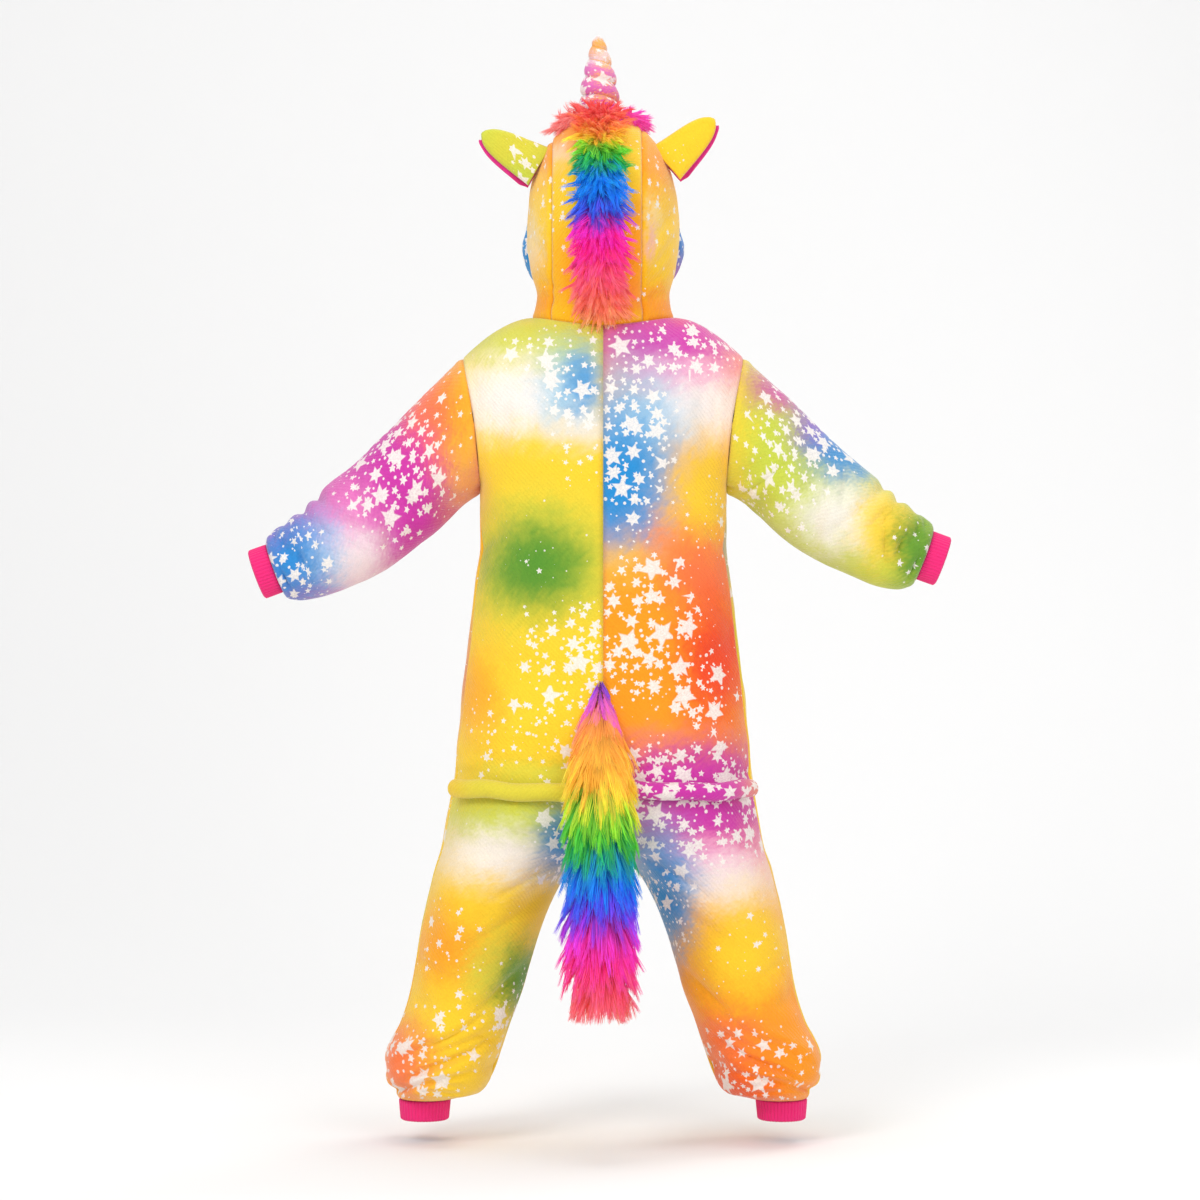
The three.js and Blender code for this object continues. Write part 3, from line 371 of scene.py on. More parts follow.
def armhole_point(half, turn):
    top = float(ridge_z(np.array(float(SHOULDER_X))))
    z = (top + ARMPIT_Z) / 2 + (top - ARMPIT_Z) / 2 * np.cos(turn)
    level = (1 - np.clip((z - ARMPIT_Z) / (top - ARMPIT_Z), 0, 1)) ** (1 / UPPER_POWER) - 1
    level = np.minimum(level, -1e-6)
    behind = body_point(half, np.zeros_like(level), level, "back")
    before = body_point(half, np.zeros_like(level), level, "front")
    return np.where((turn < 0)[..., None], behind, before)


def sleeve_frame(half, at):
    """Middle of the sleeve at a share of its length, with the ways up and out."""
    reach, lift = ARM[half]
    lean = np.radians(read(SLEEVE, "at", "lean", at))
    x = SLEEVE["x"][0] + (read(SLEEVE, "at", "x", at) - SLEEVE["x"][0]) * reach
    z = read(SLEEVE, "at", "z", at) + lift * at
    none = np.zeros_like(z)
    middle = np.stack([half * x, none, z], -1)
    up = np.stack([half * np.sin(lean), none, np.cos(lean)], -1)
    out = np.stack([half * np.cos(lean), none, -np.sin(lean)], -1)
    return middle, up, out


def sleeve_point(half, turn, at):
    turn, at = np.broadcast_arrays(np.asarray(turn, float), np.asarray(at, float))
    turn = np.arctan2(np.sin(turn), np.cos(turn))
    middle, up, out = sleeve_frame(half, at)
    rise = fold_height(SLEEVE_FOLDS, at, turn) * ease(at * 5) * ease((1 - at) * 25)
    high = read(SLEEVE, "at", "high", at) + rise
    deep = read(SLEEVE, "at", "deep", at) + rise
    section = middle + up * (high * np.cos(turn))[..., None]
    section[..., 1] += deep * np.sin(turn)
    blend = ease(at / 0.24)[..., None]
    return armhole_point(half, turn) * (1 - blend) + section * blend


def neck_point(turn):
    """Points of the neck seam, where the hood stands."""
    x = NECK_X * np.sin(turn)
    angle = np.arccos(np.clip(np.abs(x / SHOULDER_X), 0, 1) ** (BODY["square"][0] / 2))
    top = np.full_like(angle, -1.0)
    behind = body_point(1, angle, top, "back")
    before = body_point(1, angle, top, "front")
    points = np.where((np.cos(turn) > 0)[..., None], behind, before)
    points[..., 0] *= np.where(x < 0, -1, 1)
    return points


def hood_point(turn, at):
    turn, at = np.broadcast_arrays(np.asarray(turn, float), np.asarray(at, float))
    tilt = np.radians(read(HOOD, "at", "tilt", at))
    rise = fold_height(HOOD_FOLDS, at, turn)
    depth = (read(HOOD, "at", "back", at) + rise) * np.cos(turn)
    x = (read(HOOD, "at", "half", at) + rise) * np.sin(turn)
    y = read(HOOD, "at", "y", at) - depth * np.cos(tilt)
    z = read(HOOD, "at", "z", at) + depth * np.sin(tilt)
    blend = ease(at / 0.12)[..., None]
    neck = neck_point(turn) + np.array([0, 0, HOOD_TUCK])
    return neck * (1 - blend) + np.stack([x, y, z], -1) * blend


def hood_end(at):
    return np.radians(read(HOOD, "at", "end", at))


def hood_seam(x, at):
    """The turn at which the hood has a given x."""
    return np.arcsin(np.clip(x / read(HOOD, "at", "half", at), -1, 1))


def surface_normal(point, u, v, step=1e-3):
    """Unit normal of point(u, v), by small steps."""
    across = point(u + step, v) - point(u - step, v)
    along = point(u, np.minimum(1, v + step)) - point(u, np.maximum(0, v - step))
    normal = np.cross(across, along)
    return normal / np.maximum(np.linalg.norm(normal, axis=-1, keepdims=True), 1e-12)


def linear(colour):
    """An sRGB hex colour as linear red, green and blue."""
    parts = [int(colour[k : k + 2], 16) / 255 for k in (1, 3, 5)]
    return [c / 12.92 if c <= 0.04045 else ((c + 0.055) / 1.055) ** 2.4 for c in parts]


# Dyes of the print, as they show on the plush.
DYE = {
    "cream": "#F6EFEC",
    "yellow": "#FBCF2E",
    "gold": "#FDBE1A",
    "orange": "#FB9A1C",
    "coral": "#FC7148",
    "red": "#F03C22",
    "lime": "#C6D048",
    "green": "#3E8C2C",
    "blue": "#0F8AD0",
    "sky": "#63BDE6",
    "violet": "#8A4CC4",
    "magenta": "#CB35A4",
    "pink": "#EE8FC6",
}
DYE_LINEAR = {name: np.array(linear(colour)) for name, colour in DYE.items()}


def dye_cloth(places, ground, blobs):
    """Airbrushed clouds of dye: each blob is (colour, x, z, half width, half height, strength)."""
    colour = np.tile(DYE_LINEAR[ground], (len(places), 1))
    for name, x, z, wide, tall, strength in blobs:
        away = ((places[:, 0] - x) / wide) ** 2 + ((places[:, 2] - z) / tall) ** 2
        share = (strength * np.exp(-(away**1.5)))[:, None]
        colour = colour * (1 - share) + DYE_LINEAR[name] * share
    return colour


def scatter(places, fields):
    """How thickly stars are printed: fields of (x, z, half width, half height, strength)."""
    most = np.full(len(places), 0.08)
    for x, z, wide, tall, strength in fields:
        away = ((places[:, 0] - x) / wide) ** 2 + ((places[:, 2] - z) / tall) ** 2
        most = np.maximum(most, strength * np.exp(-(away**2)))
    return most


def make_mesh(name, points, faces, uvs=None, colours=None, stars=None):
    """A smooth mesh from points in mm, with a uv in metres, a dye colour and a share of stars for each."""
    mesh = bpy.data.meshes.new(name)
    mesh.from_pydata((points * MM).tolist(), [], faces.tolist())
    corners = np.empty(len(mesh.loops), np.int32)
    mesh.loops.foreach_get("vertex_index", corners)
    if uvs is not None:
        layer = mesh.uv_layers.new(name="cloth")
        layer.data.foreach_set("uv", uvs[corners].astype(np.float32).ravel())
    if colours is not None:
        layer = mesh.color_attributes.new("dye", "FLOAT_COLOR", "POINT")
        full = np.concatenate([colours, np.ones((len(colours), 1))], 1)
        layer.data.foreach_set("color", full.astype(np.float32).ravel())
    if stars is not None:
        layer = mesh.attributes.new("scatter", "FLOAT", "POINT")
        layer.data.foreach_set("value", stars.astype(np.float32))
    mesh.shade_smooth()
    piece = bpy.data.objects.new(name, mesh)
    bpy.context.scene.collection.objects.link(piece)
    return piece


def grid_faces(rows, columns, ring=False):
    """Quads of a grid of points, row by row."""
    wide = columns if ring else columns + 1
    j, i = np.meshgrid(np.arange(rows), np.arange(columns), indexing="ij")
    a = (j * wide + i).ravel()
    b = (j * wide + (i + 1) % wide).ravel()
    return np.stack([a, b, b + wide, a + wide], 1)


def ripple(points, size, height, seed):
    """A slow random swell of the cloth, as a few crossed waves."""
    waves = np.random.default_rng(seed)
    total = np.zeros(points.shape[:-1])
    for _ in range(7):
        way = waves.normal(size=3)
        way /= np.linalg.norm(way)
        total += np.sin(points @ way * (2 * PI / (size * waves.uniform(0.6, 1.6))) + waves.uniform(0, 2 * PI))
    return total * height / 7**0.5


FAR_FROM_SEAMS = 99.0
SEAM_DIP = 1.7
SEAM_PUFF = 0.9


def cloth(
    name,
    point,
    rows,
    columns,
    dye,
    away,
    ring=False,
    dip=(0, 0, 0, 0),
    thick=CLOTH,
    swell=1.1,
    relief=None,
    grain=0.5,
    upright=True,
    stars=(),
):
    """A panel of cloth on point(u, v), with a seam dip on its four edges (first, last, top, bottom).

    grain is the column that the print's straight grain follows.
    """
    wide = columns if ring else columns + 1
    u, v = np.meshgrid(np.arange(wide) / columns, np.arange(rows + 1) / rows)
    points = point(u, v)
    normal = surface_normal(point, u, v)
    if (normal * away(points)).sum() < 0:
        normal = -normal
    along = np.linalg.norm(np.diff(points, axis=0), axis=-1)
    across = np.linalg.norm(np.diff(points, axis=1), axis=-1)
    down = np.concatenate([np.zeros((1, wide)), np.cumsum(along, 0)])
    over = np.concatenate([np.zeros((rows + 1, 1)), np.cumsum(across, 1)], 1)
    seam = np.full_like(over, FAR_FROM_SEAMS)
    for flag, distance in zip(dip, (over, over[:, -1:] - over, down, down[-1:] - down)):
        if flag:
            seam = np.minimum(seam, distance)
    calm = ease(seam / 25)
    rise = ripple(points, 90, swell, len(name)) * calm
    rise = rise + ripple(points, 34, swell * 0.28, len(name) + 5) * calm
    rise = rise - SEAM_DIP * np.exp(-((seam / 2.6) ** 2)) + SEAM_PUFF * np.exp(-(((seam - 7) / 4.5) ** 2))
    if relief is not None:
        rise = rise + relief(u, v, points)
    shown = points + normal * rise[..., None]
    line = int(round(grain * (wide - 1)))
    side = np.sign(np.diff(points[..., 0], axis=1)[:, line - 1].mean()) if upright else 1
    base = points[:, line : line + 1, 0] if upright else 0
    rise_by_row = points[..., 2] if upright else -down[:, line : line + 1] + 0 * over
    spread = base + side * (over - over[:, line : line + 1])
    uvs = np.stack([spread, rise_by_row], -1).reshape(-1, 2) * MM
    flat = shown.reshape(-1, 3)
    faces = grid_faces(rows, columns, ring)
    a, b, c = (flat[faces[0][k]] for k in range(3))
    if np.dot(np.cross(b - a, c - a), normal.reshape(-1, 3)[0]) < 0:
        faces = faces[:, ::-1]
    piece = make_mesh(name, flat, faces, uvs, dye(flat), scatter(flat, stars))
    shell = piece.modifiers.new("thickness", "SOLIDIFY")
    shell.thickness = thick * MM
    shell.offset = -1
    shell.use_rim = True
    return piece


def settle(piece, nodes, material=None):
    """Rides on the garment, hides the frame parts that it replaces and takes its material, if one is given.
    """
    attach(piece, "root")
    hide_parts(*nodes)
    if material is not None:
        piece.data.materials.append(material)


def put(tree, kind, links=(), **settings):
    """Adds a shader node, sets its properties, and joins or fills its inputs."""
    node = tree.nodes.new("ShaderNode" + kind)
    for name, value in settings.items():
        setattr(node, name, value)
    for key, value in dict(links).items():
        if isinstance(value, bpy.types.NodeSocket):
            tree.links.new(value, node.inputs[key])
        else:
            node.inputs[key].default_value = value
    return node


def work_out(tree, operation, *values):
    """The result of a Math node on values or sockets."""
    return put(tree, "Math", dict(enumerate(values)), operation=operation).outputs[0]


def move(tree, operation, *values):
    """The result of a Vector Math node on vectors."""
    return put(tree, "VectorMath", dict(enumerate(values)), operation=operation).outputs[0]


def remap(tree, value, *limits):
    """A value mapped from one range to another: limits are from low, from high, to low, to high."""
    return put(tree, "MapRange", {0: value, **dict(enumerate(limits, 1))}).outputs[0]


def new_material(name, **settings):
    """A material whose even values are set on the shader's own inputs."""
    made = bpy.data.materials.new(name)
    made.use_nodes = True
    shader = made.node_tree.nodes["Principled BSDF"]
    for key, value in settings.items():
        shader.inputs[key.replace("_", " ")].default_value = value
    return made, made.node_tree, shader


def star_layer(tree, cloth_uv, thickly, cell, radius, points, waist, empty, seed):
    """Scattered printed stars, one or none to a square of the cloth: 1 inside a star, 0 outside.

    They are fewer and smaller where the scatter attribute, thickly, is low.
    """
    half = PI / points
    scaled = put(tree, "VectorMath", {0: cloth_uv, "Scale": 1 / (cell * MM)}, operation="SCALE").outputs[0]
    square = move(tree, "FLOOR", scaled)
    place = move(tree, "ADD", square, (seed, seed * 3.7, seed))
    dice = put(tree, "TexWhiteNoise", {"Vector": place})
    chance, many = dice.outputs["Value"], dice.outputs["Color"]
    shift = move(tree, "MULTIPLY", move(tree, "ADD", many, (-0.5, -0.5, -0.5)), (0.55, 0.55, 0))
    local = move(tree, "ADD", move(tree, "FRACTION", scaled), (-0.5, -0.5, 0))
    axes = put(tree, "SeparateXYZ", {0: move(tree, "SUBTRACT", local, shift)})
    flat = put(tree, "CombineXYZ", {0: axes.outputs[0], 1: axes.outputs[1]}).outputs[0]
    away = put(tree, "VectorMath", {0: flat}, operation="LENGTH").outputs["Value"]
    turn = work_out(tree, "ARCTAN2", axes.outputs[1], axes.outputs[0])
    spin = work_out(tree, "MULTIPLY_ADD", chance, 40.0, turn)
    folded = work_out(tree, "PINGPONG", spin, half)
    along = work_out(tree, "MULTIPLY", work_out(tree, "COSINE", folded), waist * math.sin(half))
    edge = work_out(tree, "MULTIPLY_ADD", work_out(tree, "SINE", folded), 1 - waist * math.cos(half), along)
    reach = work_out(tree, "MULTIPLY", away, edge)
    grade = put(tree, "SeparateColor", {0: many}).outputs[2]
    shown = work_out(tree, "GREATER_THAN", grade, empty)
    start = work_out(tree, "MULTIPLY", chance, 0.55)
    end = work_out(tree, "ADD", start, 0.4)
    grown = remap(tree, thickly, start, end, 0.0, 1.0)
    size = work_out(tree, "MULTIPLY", remap(tree, grade, empty, 1.0, 0.62, 1.15), grown)
    limit = work_out(tree, "MULTIPLY", size, radius / cell * waist * math.sin(half))
    inside = work_out(tree, "DIVIDE", reach, work_out(tree, "MAXIMUM", limit, 0.0001))
    mask = remap(tree, inside, 1.12, 0.88, 0.0, 1.0)
    return work_out(tree, "MULTIPLY", mask, shown)


# Cell, radius in mm, points, waist, share of empty cells, seed.
STAR_LAYERS = (
    (44, 16.0, 5, 0.47, 0.3, 3.0),
    (27, 10.0, 6, 0.5, 0.25, 11.0),
    (17, 5.6, 5, 0.5, 0.35, 23.0),
    (11, 2.3, 7, 0.8, 0.4, 41.0),
)
PRINT_WHITE = "#F4EDE6"


def cloth_nap(tree, nap, depth, weave=0.0):
    """Bump of a brushed pile: clumps of fibre of about nap mm, over a faint diagonal weave."""
    where = put(tree, "TexCoord").outputs["Object"]
    fibre = put(tree, "TexNoise", {"Vector": where, "Scale": 1 / (nap * MM), "Detail": 4.0, "Roughness": 0.7})
    height = fibre.outputs[0]
    if weave:
        cloth_uv = put(tree, "UVMap", uv_map="cloth").outputs[0]
        lines = put(
            tree,
            "TexWave",
            {"Vector": cloth_uv, "Scale": 0.5 / (weave * MM) / PI, "Distortion": 2.0, "Detail": 2.0},
            bands_direction="DIAGONAL",
        )
        height = work_out(tree, "MULTIPLY_ADD", lines.outputs[1], 0.35, height)
    bump = put(tree, "Bump", {"Height": height, "Distance": depth * MM, "Strength": 0.8})
    return bump.outputs[0], fibre.outputs[0]


def shade(tree, colour, variation, low, high):
    """A colour made a little darker and lighter by a 0 to 1 variation."""
    level = remap(tree, variation, 0.25, 0.75, low, high)
    return put(tree, "VectorMath", {0: colour, "Scale": level}, operation="SCALE").outputs[0]


def make_printed_fleece():
    """Polyester plush fleece: matt and velvety, with dye clouds and a scatter of white printed stars."""
    made, tree, shader = new_material(
        "printed_fleece", Roughness=0.95, Sheen_Weight=0.35, Sheen_Roughness=0.45, Specular_IOR_Level=0.2
    )
    cloth_uv = put(tree, "UVMap", uv_map="cloth").outputs[0]
    dye = put(tree, "Attribute", attribute_name="dye").outputs["Color"]
    thickly = put(tree, "Attribute", attribute_name="scatter").outputs["Fac"]
    stars = None
    for layer in STAR_LAYERS:
        mask = star_layer(tree, cloth_uv, thickly, *layer)
        stars = mask if stars is None else work_out(tree, "MAXIMUM", stars, mask)
    bump, fibre = cloth_nap(tree, 2.2, 0.9, 1.6)
    worn = remap(tree, fibre, 0.3, 0.6, 0.72, 0.95)
    cover = work_out(tree, "MULTIPLY", stars, worn)
    white = (*linear(PRINT_WHITE), 1)
    printed = put(tree, "Mix", {0: cover, 6: dye, 7: white}, data_type="RGBA").outputs[2]
    tree.links.new(shade(tree, printed, fibre, 0.88, 1.04), shader.inputs["Base Color"])
    tree.links.new(bump, shader.inputs["Normal"])
    return made


def make_dyed(name, colour, nap, depth, weave=0.0, **settings):
    """Cloth of one dye, a little uneven with its pile."""
    made, tree, shader = new_material(name, **settings)
    bump, fibre = cloth_nap(tree, nap, depth, weave)
    ground = put(tree, "RGB").outputs[0]
    ground.default_value = (*linear(colour), 1)
    tree.links.new(shade(tree, ground, fibre, 0.86, 1.06), shader.inputs["Base Color"])
    tree.links.new(bump, shader.inputs["Normal"])
    return made


LIGHT_THROUGH = 0.25


def make_strand_pile(name, **settings):
    """Long acrylic pile: each lock takes its own dye from the strand.

    Light comes through the fibres, and a weak painted glow in the dye stands for the light they pass on to
    each other.
    """
    made, tree, shader = new_material(name, **settings)
    dye = put(tree, "Attribute", attribute_name="dye").outputs["Color"]
    through = put(tree, "BsdfTranslucent")
    both = put(tree, "MixShader", {0: LIGHT_THROUGH})
    output = tree.nodes["Material Output"]
    tree.links.new(dye, shader.inputs["Base Color"])
    tree.links.new(dye, through.inputs["Color"])
    # Painted glow: the dye also feeds the emission.
    tree.links.new(dye, shader.inputs["Emission Color"])
    tree.links.new(shader.outputs[0], both.inputs[1])
    tree.links.new(through.outputs[0], both.inputs[2])
    tree.links.new(both.outputs[0], output.inputs["Surface"])
    return made


PINK = "#E5318C"
PLUSH = {"Roughness": 0.95, "Sheen_Weight": 0.35, "Sheen_Roughness": 0.45}
PRINTED = make_printed_fleece()
PINK_PLUSH = make_dyed("pink_fleece", PINK, 2.0, 0.8, 1.6, **PLUSH)
RIB_KNIT = make_dyed("rib_knit", "#EE1C77", 1.0, 0.35, Roughness=0.85, Sheen_Weight=0.15)
# Emission_Strength sets the painted glow of the pile, and of its backing too.
LONG_PILE = make_strand_pile("long_pile", Roughness=0.6, Sheen_Weight=0.1, Emission_Strength=0.16)
GOLD_CORD = make_dyed("cord_thread", "#F2A93A", 0.6, 0.1, Roughness=0.6, Sheen_Weight=0.1)
BUTTON = make_dyed("button_plastic", PINK, 0.6, 0.02, Roughness=0.28, IOR=1.5)

# Dye clouds of each panel: colour, x, z, half width, half height, strength.
CLOUDS = {
    "back_left": (
        "yellow",
        ("lime", -90, -6, 130, 46, 0.85),
        ("cream", -110, -82, 92, 56, 0.92),
        ("sky", -38, -70, 46, 62, 0.65),
        ("blue", -26, -62, 26, 40, 0.75),
        ("cream", -30, -122, 40, 26, 0.6),
        ("yellow", -100, -178, 120, 52, 0.95),
        ("lime", -81, -292, 102, 100, 0.85),
        ("green", -84, -292, 66, 64, 0.92),
        ("yellow", -60, -450, 140, 92, 0.9),
        ("orange", -160, -452, 36, 54, 0.6),
        ("lime", -60, -562, 110, 30, 0.7),
    ),
    "back_right": (
        "orange",
        ("magenta", 84, -4, 120, 50, 1.0),
        ("cream", 112, -92, 86, 56, 0.9),
        ("pink", 96, -48, 70, 20, 0.5),
        ("sky", 30, -140, 72, 110, 0.8),
        ("blue", 18, -190, 58, 90, 0.97),
        ("yellow", 136, -200, 50, 76, 0.92),
        ("yellow", 30, -292, 44, 34, 0.6),
        ("coral", 118, -300, 66, 56, 0.85),
        ("orange", 40, -350, 64, 60, 0.8),
        ("red", 142, -412, 54, 92, 0.92),
        ("orange", 30, -440, 60, 60, 0.7),
        ("magenta", 100, -560, 150, 52, 1.0),
    ),
    "seat_left": (
        "yellow",
        ("lime", -100, -605, 150, 38, 0.9),
        ("cream", -130, -655, 80, 40, 0.85),
        ("blue", -48, -640, 34, 52, 0.9),
        ("orange", -195, -768, 52, 58, 0.85),
        ("yellow", -140, -720, 60, 45, 0.6),
        ("lime", -125, -815, 50, 62, 0.8),
        ("green", -104, -820, 28, 52, 0.9),
        ("yellow", -180, -880, 60, 60, 0.8),
        ("coral", -262, -920, 48, 60, 0.9),
    ),
    "seat_right": (
        "orange",
        ("magenta", 110, -600, 170, 52, 1.0),
        ("pink", 130, -655, 90, 30, 0.8),
        ("cream", 150, -690, 80, 40, 0.85),
        ("sky", 60, -700, 50, 95, 0.8),
        ("blue", 78, -720, 34, 80, 0.95),
        ("yellow", 180, -770, 72, 70, 0.95),
        ("red", 175, -950, 60, 60, 0.8),
        ("coral", 160, -885, 60, 34, 0.7),
        ("orange", 235, -900, 60, 60, 0.7),
    ),
    "front_left": (
        "yellow",
        ("lime", -140, -120, 70, 90, 0.8),
        ("cream", -70, -70, 60, 60, 0.7),
        ("orange", -80, -260, 80, 70, 0.85),
        ("magenta", -100, -420, 90, 70, 0.85),
        ("pink", -90, -500, 90, 40, 0.6),
        ("blue", -70, -620, 60, 60, 0.8),
        ("lime", -160, -720, 80, 60, 0.8),
        ("yellow", -200, -650, 40, 90, 0.8),
        ("orange", -180, -830, 70, 60, 0.85),
        ("coral", -240, -920, 60, 50, 0.85),
    ),
    "front_right": (
        "yellow",
        ("magenta", 120, -90, 90, 70, 0.9),
        ("cream", 60, -160, 60, 50, 0.7),
        ("blue", 80, -280, 80, 80, 0.9),
        ("lime", 90, -400, 90, 60, 0.85),
        ("orange", 80, -520, 90, 70, 0.85),
        ("red", 90, -600, 50, 45, 0.6),
        ("yellow", 205, -650, 30, 110, 0.9),
        ("magenta", 130, -720, 80, 60, 0.85),
        ("blue", 150, -820, 60, 60, 0.8),
        ("orange", 200, -930, 80, 60, 0.85),
    ),
    "sleeve_left": (
        "magenta",
        ("gold", -178, -95, 40, 130, 0.95),
        ("orange", -205, -80, 40, 60, 0.7),
        ("coral", -225, -110, 42, 66, 0.85),
        ("magenta", -275, -170, 62, 70, 0.95),
        ("pink", -325, -235, 50, 60, 0.7),
        ("cream", -318, -285, 48, 46, 0.8),
        ("sky", -365, -275, 34, 60, 0.7),
        ("blue", -402, -285, 42, 66, 0.95),
    ),
    "sleeve_right": (
        "lime",
        ("yellow", 176, -110, 26, 120, 0.9),
        ("lime", 215, -140, 52, 110, 0.9),
        ("magenta", 235, -62, 52, 34, 0.9),
        ("violet", 278, -112, 40, 40, 0.9),
        ("blue", 310, -150, 52, 40, 0.9),
        ("cream", 300, -228, 58, 46, 0.85),
        ("yellow", 356, -240, 40, 50, 0.9),
        ("green", 398, -270, 34, 56, 0.85),
    ),
    "hood_centre": (
        "gold",
        ("orange", -44, 262, 40, 34, 0.9),
        ("cream", -50, 232, 22, 18, 0.4),
        ("yellow", -44, 176, 40, 46, 0.85),
        ("orange", -30, 80, 36, 50, 0.5),
        ("yellow", 30, 226, 34, 60, 0.9),
        ("orange", 34, 110, 30, 66, 0.9),
        ("coral", 26, 44, 30, 30, 0.5),
    ),
    "hood_side_left": (
        "gold",
        ("orange", -72, 236, 40, 30, 0.9),
        ("yellow", -80, 150, 26, 46, 0.9),
        ("cream", -90, 120, 12, 40, 0.35),
        ("orange", -74, 44, 40, 22, 0.8),
    ),
    "hood_side_right": (
        "gold",
        ("orange", 64, 226, 34, 44, 0.9),
        ("cream", 64, 140, 12, 34, 0.5),
        ("yellow", 78, 120, 26, 60, 0.8),
        ("pink", 60, 118, 8, 22, 0.4),
        ("orange", 74, 38, 44, 24, 0.95),
    ),
    "hood_face_band": (
        "blue",
        ("magenta", 90, 60, 60, 120, 0.9),
        ("blue", 90, 150, 60, 60, 0.9),
        ("violet", 60, 190, 50, 40, 0.7),
        ("sky", -60, 190, 50, 40, 0.6),
    ),
    "ear_left": ("lime", ("yellow", -110, 250, 50, 30, 0.3)),
    "ear_right": ("yellow", ("gold", 62, 225, 22, 30, 0.6)),
    "horn": (
        "magenta",
        ("pink", 0, 320, 40, 16, 0.5),
        ("gold", 2, 311, 26, 5, 0.7),
        ("pink", 0, 344, 40, 14, 0.7),
        ("gold", 4, 333, 22, 5, 0.75),
        ("cream", 0, 364, 40, 10, 0.75),
        ("gold", 4, 355, 18, 6, 0.7),
        ("gold", 0, 380, 40, 12, 0.8),
        ("cream", 0, 393, 40, 6, 0.9),
    ),
    "placket": ("yellow", ("orange", 0, -200, 60, 90, 0.8), ("magenta", 0, -400, 60, 90, 0.8)),
}

# Where stars are printed thickly: x, z, half width, half height, strength.
STARS = {
    "back_left": (
        (-60, -20, 90, 36, 0.55),
        (-38, -70, 46, 60, 0.95),
        (-20, -150, 40, 50, 0.4),
        (-40, -400, 70, 70, 0.95),
        (-80, -500, 100, 60, 0.6),
        (-80, -555, 100, 25, 0.4),
        (-80, -290, 40, 40, 0.28),
    ),
    "back_right": (
        (85, -12, 110, 46, 0.95),
        (38, -130, 58, 120, 0.95),
        (130, -230, 50, 60, 0.4),
        (50, -370, 80, 100, 1.0),
        (120, -440, 60, 60, 0.7),
        (100, -560, 130, 60, 0.95),
    ),
    "seat_left": (
        (-48, -640, 44, 62, 0.95),
        (-200, -760, 60, 60, 0.4),
        (-150, -870, 90, 60, 0.5),
        (-250, -930, 70, 60, 0.75),
        (-105, -820, 36, 50, 0.4),
    ),
    "seat_right": (
        (120, -610, 150, 60, 0.95),
        (72, -720, 46, 100, 0.7),
        (190, -930, 90, 80, 0.65),
        (180, -780, 80, 60, 0.3),
    ),
    "front_left": (
        (-80, -80, 80, 80, 0.8),
        (-90, -420, 90, 90, 0.9),
        (-170, -620, 60, 90, 0.5),
        (-220, -900, 80, 80, 0.7),
    ),
    "front_right": (
        (110, -90, 80, 80, 0.9),
        (80, -300, 90, 90, 0.9),
        (100, -560, 90, 80, 0.8),
        (150, -800, 90, 90, 0.7),
    ),
    "sleeve_left": ((-262, -160, 80, 100, 1.0), (-190, -90, 30, 60, 0.4), (-395, -285, 60, 60, 0.65)),
    "sleeve_right": ((285, -120, 90, 60, 1.0), (225, -150, 60, 110, 0.75), (400, -270, 40, 50, 0.4)),
    "hood_face_band": ((0, 150, 200, 200, 0.8),),
    "ear_left": ((-62, 225, 60, 60, 0.85),),
    "ear_right": ((62, 225, 60, 60, 0.3),),
    "horn": ((0, 310, 60, 60, 1.0),),
    "welt_right": ((90, -571, 130, 60, 0.9),),
}
LITTLE_STARS = ((0, 150, 140, 140, 0.34),)


def clouds_of(name):
    """The dye of one panel as a function of its points."""
    ground, *blobs = CLOUDS[name]

    def dye(points):
        drift = ripple(points, 46, 3.4, 17), ripple(points, 40, 3.4, 29)
        grains = np.random.default_rng(len(points)).normal(0, 3.2, size=points.shape)
        moved = points + grains + np.stack([drift[0], drift[0] * 0, drift[1]], -1)
        return dye_cloth(moved, ground, blobs)

    return dye


def level_lookup(levels):
    """A panel's level by its share from top to bottom."""
    return lambda v: np.interp(v, np.linspace(0, 1, len(levels)), levels)


END = {-1: "left", 1: "right"}
UPPER_LEVELS = [-1, -0.95, -0.8, -0.55, -0.28, 0]
WELT_LEVEL = ARMPIT_Z - WELT_Z
ANKLE_LEVEL = ARMPIT_Z - ANKLE_Z


def make_body_panel(half, face, kind, levels, rows, columns):
    """Half of the back, seat or front."""
    lookup = level_lookup(levels)

    def point(u, v):
        level = lookup(v)
        z = ARMPIT_Z - np.maximum(0, level)
        side = -seam_angle(z)
        share = np.clip(u, 0, 1)
        if face == "back":
            angle = side - share * (widest_angle(z) + side)
        else:
            angle = side + share * (widest_angle(z) - side)
        return body_point(half, angle, level, face)

    def away(points):
        return np.stack([points[..., 0] - half * 90, 2 * points[..., 1], 20 + 0 * points[..., 2]], -1)

    name = f"{kind}_{END[half]}"
    grain = 1.0 if kind == "back" else 0.55
    panel = cloth(
        f"{name}_fleece",
        point,
        rows,
        columns,
        clouds_of(name),
        away,
        dip=(1, 1, 1, 1),
        grain=grain,
        stars=STARS[name],
    )
    settle(panel, [name], material=PRINTED)


TRUNK_ROWS = [*UPPER_LEVELS, 60, 130, 200, 270, 330, WELT_LEVEL]
LEG_ROWS = [WELT_LEVEL, 415, 450, 485, 520, 560, 600, 640, 680, 720, 750, 765, ANKLE_LEVEL]
for half in (-1, 1):
    make_body_panel(half, "back", "back", TRUNK_ROWS, 150, 44)
    make_body_panel(half, "back", "seat", LEG_ROWS, 160, 60)
    make_body_panel(half, "front", "front", [*TRUNK_ROWS, *LEG_ROWS[1:]], 210, 44)


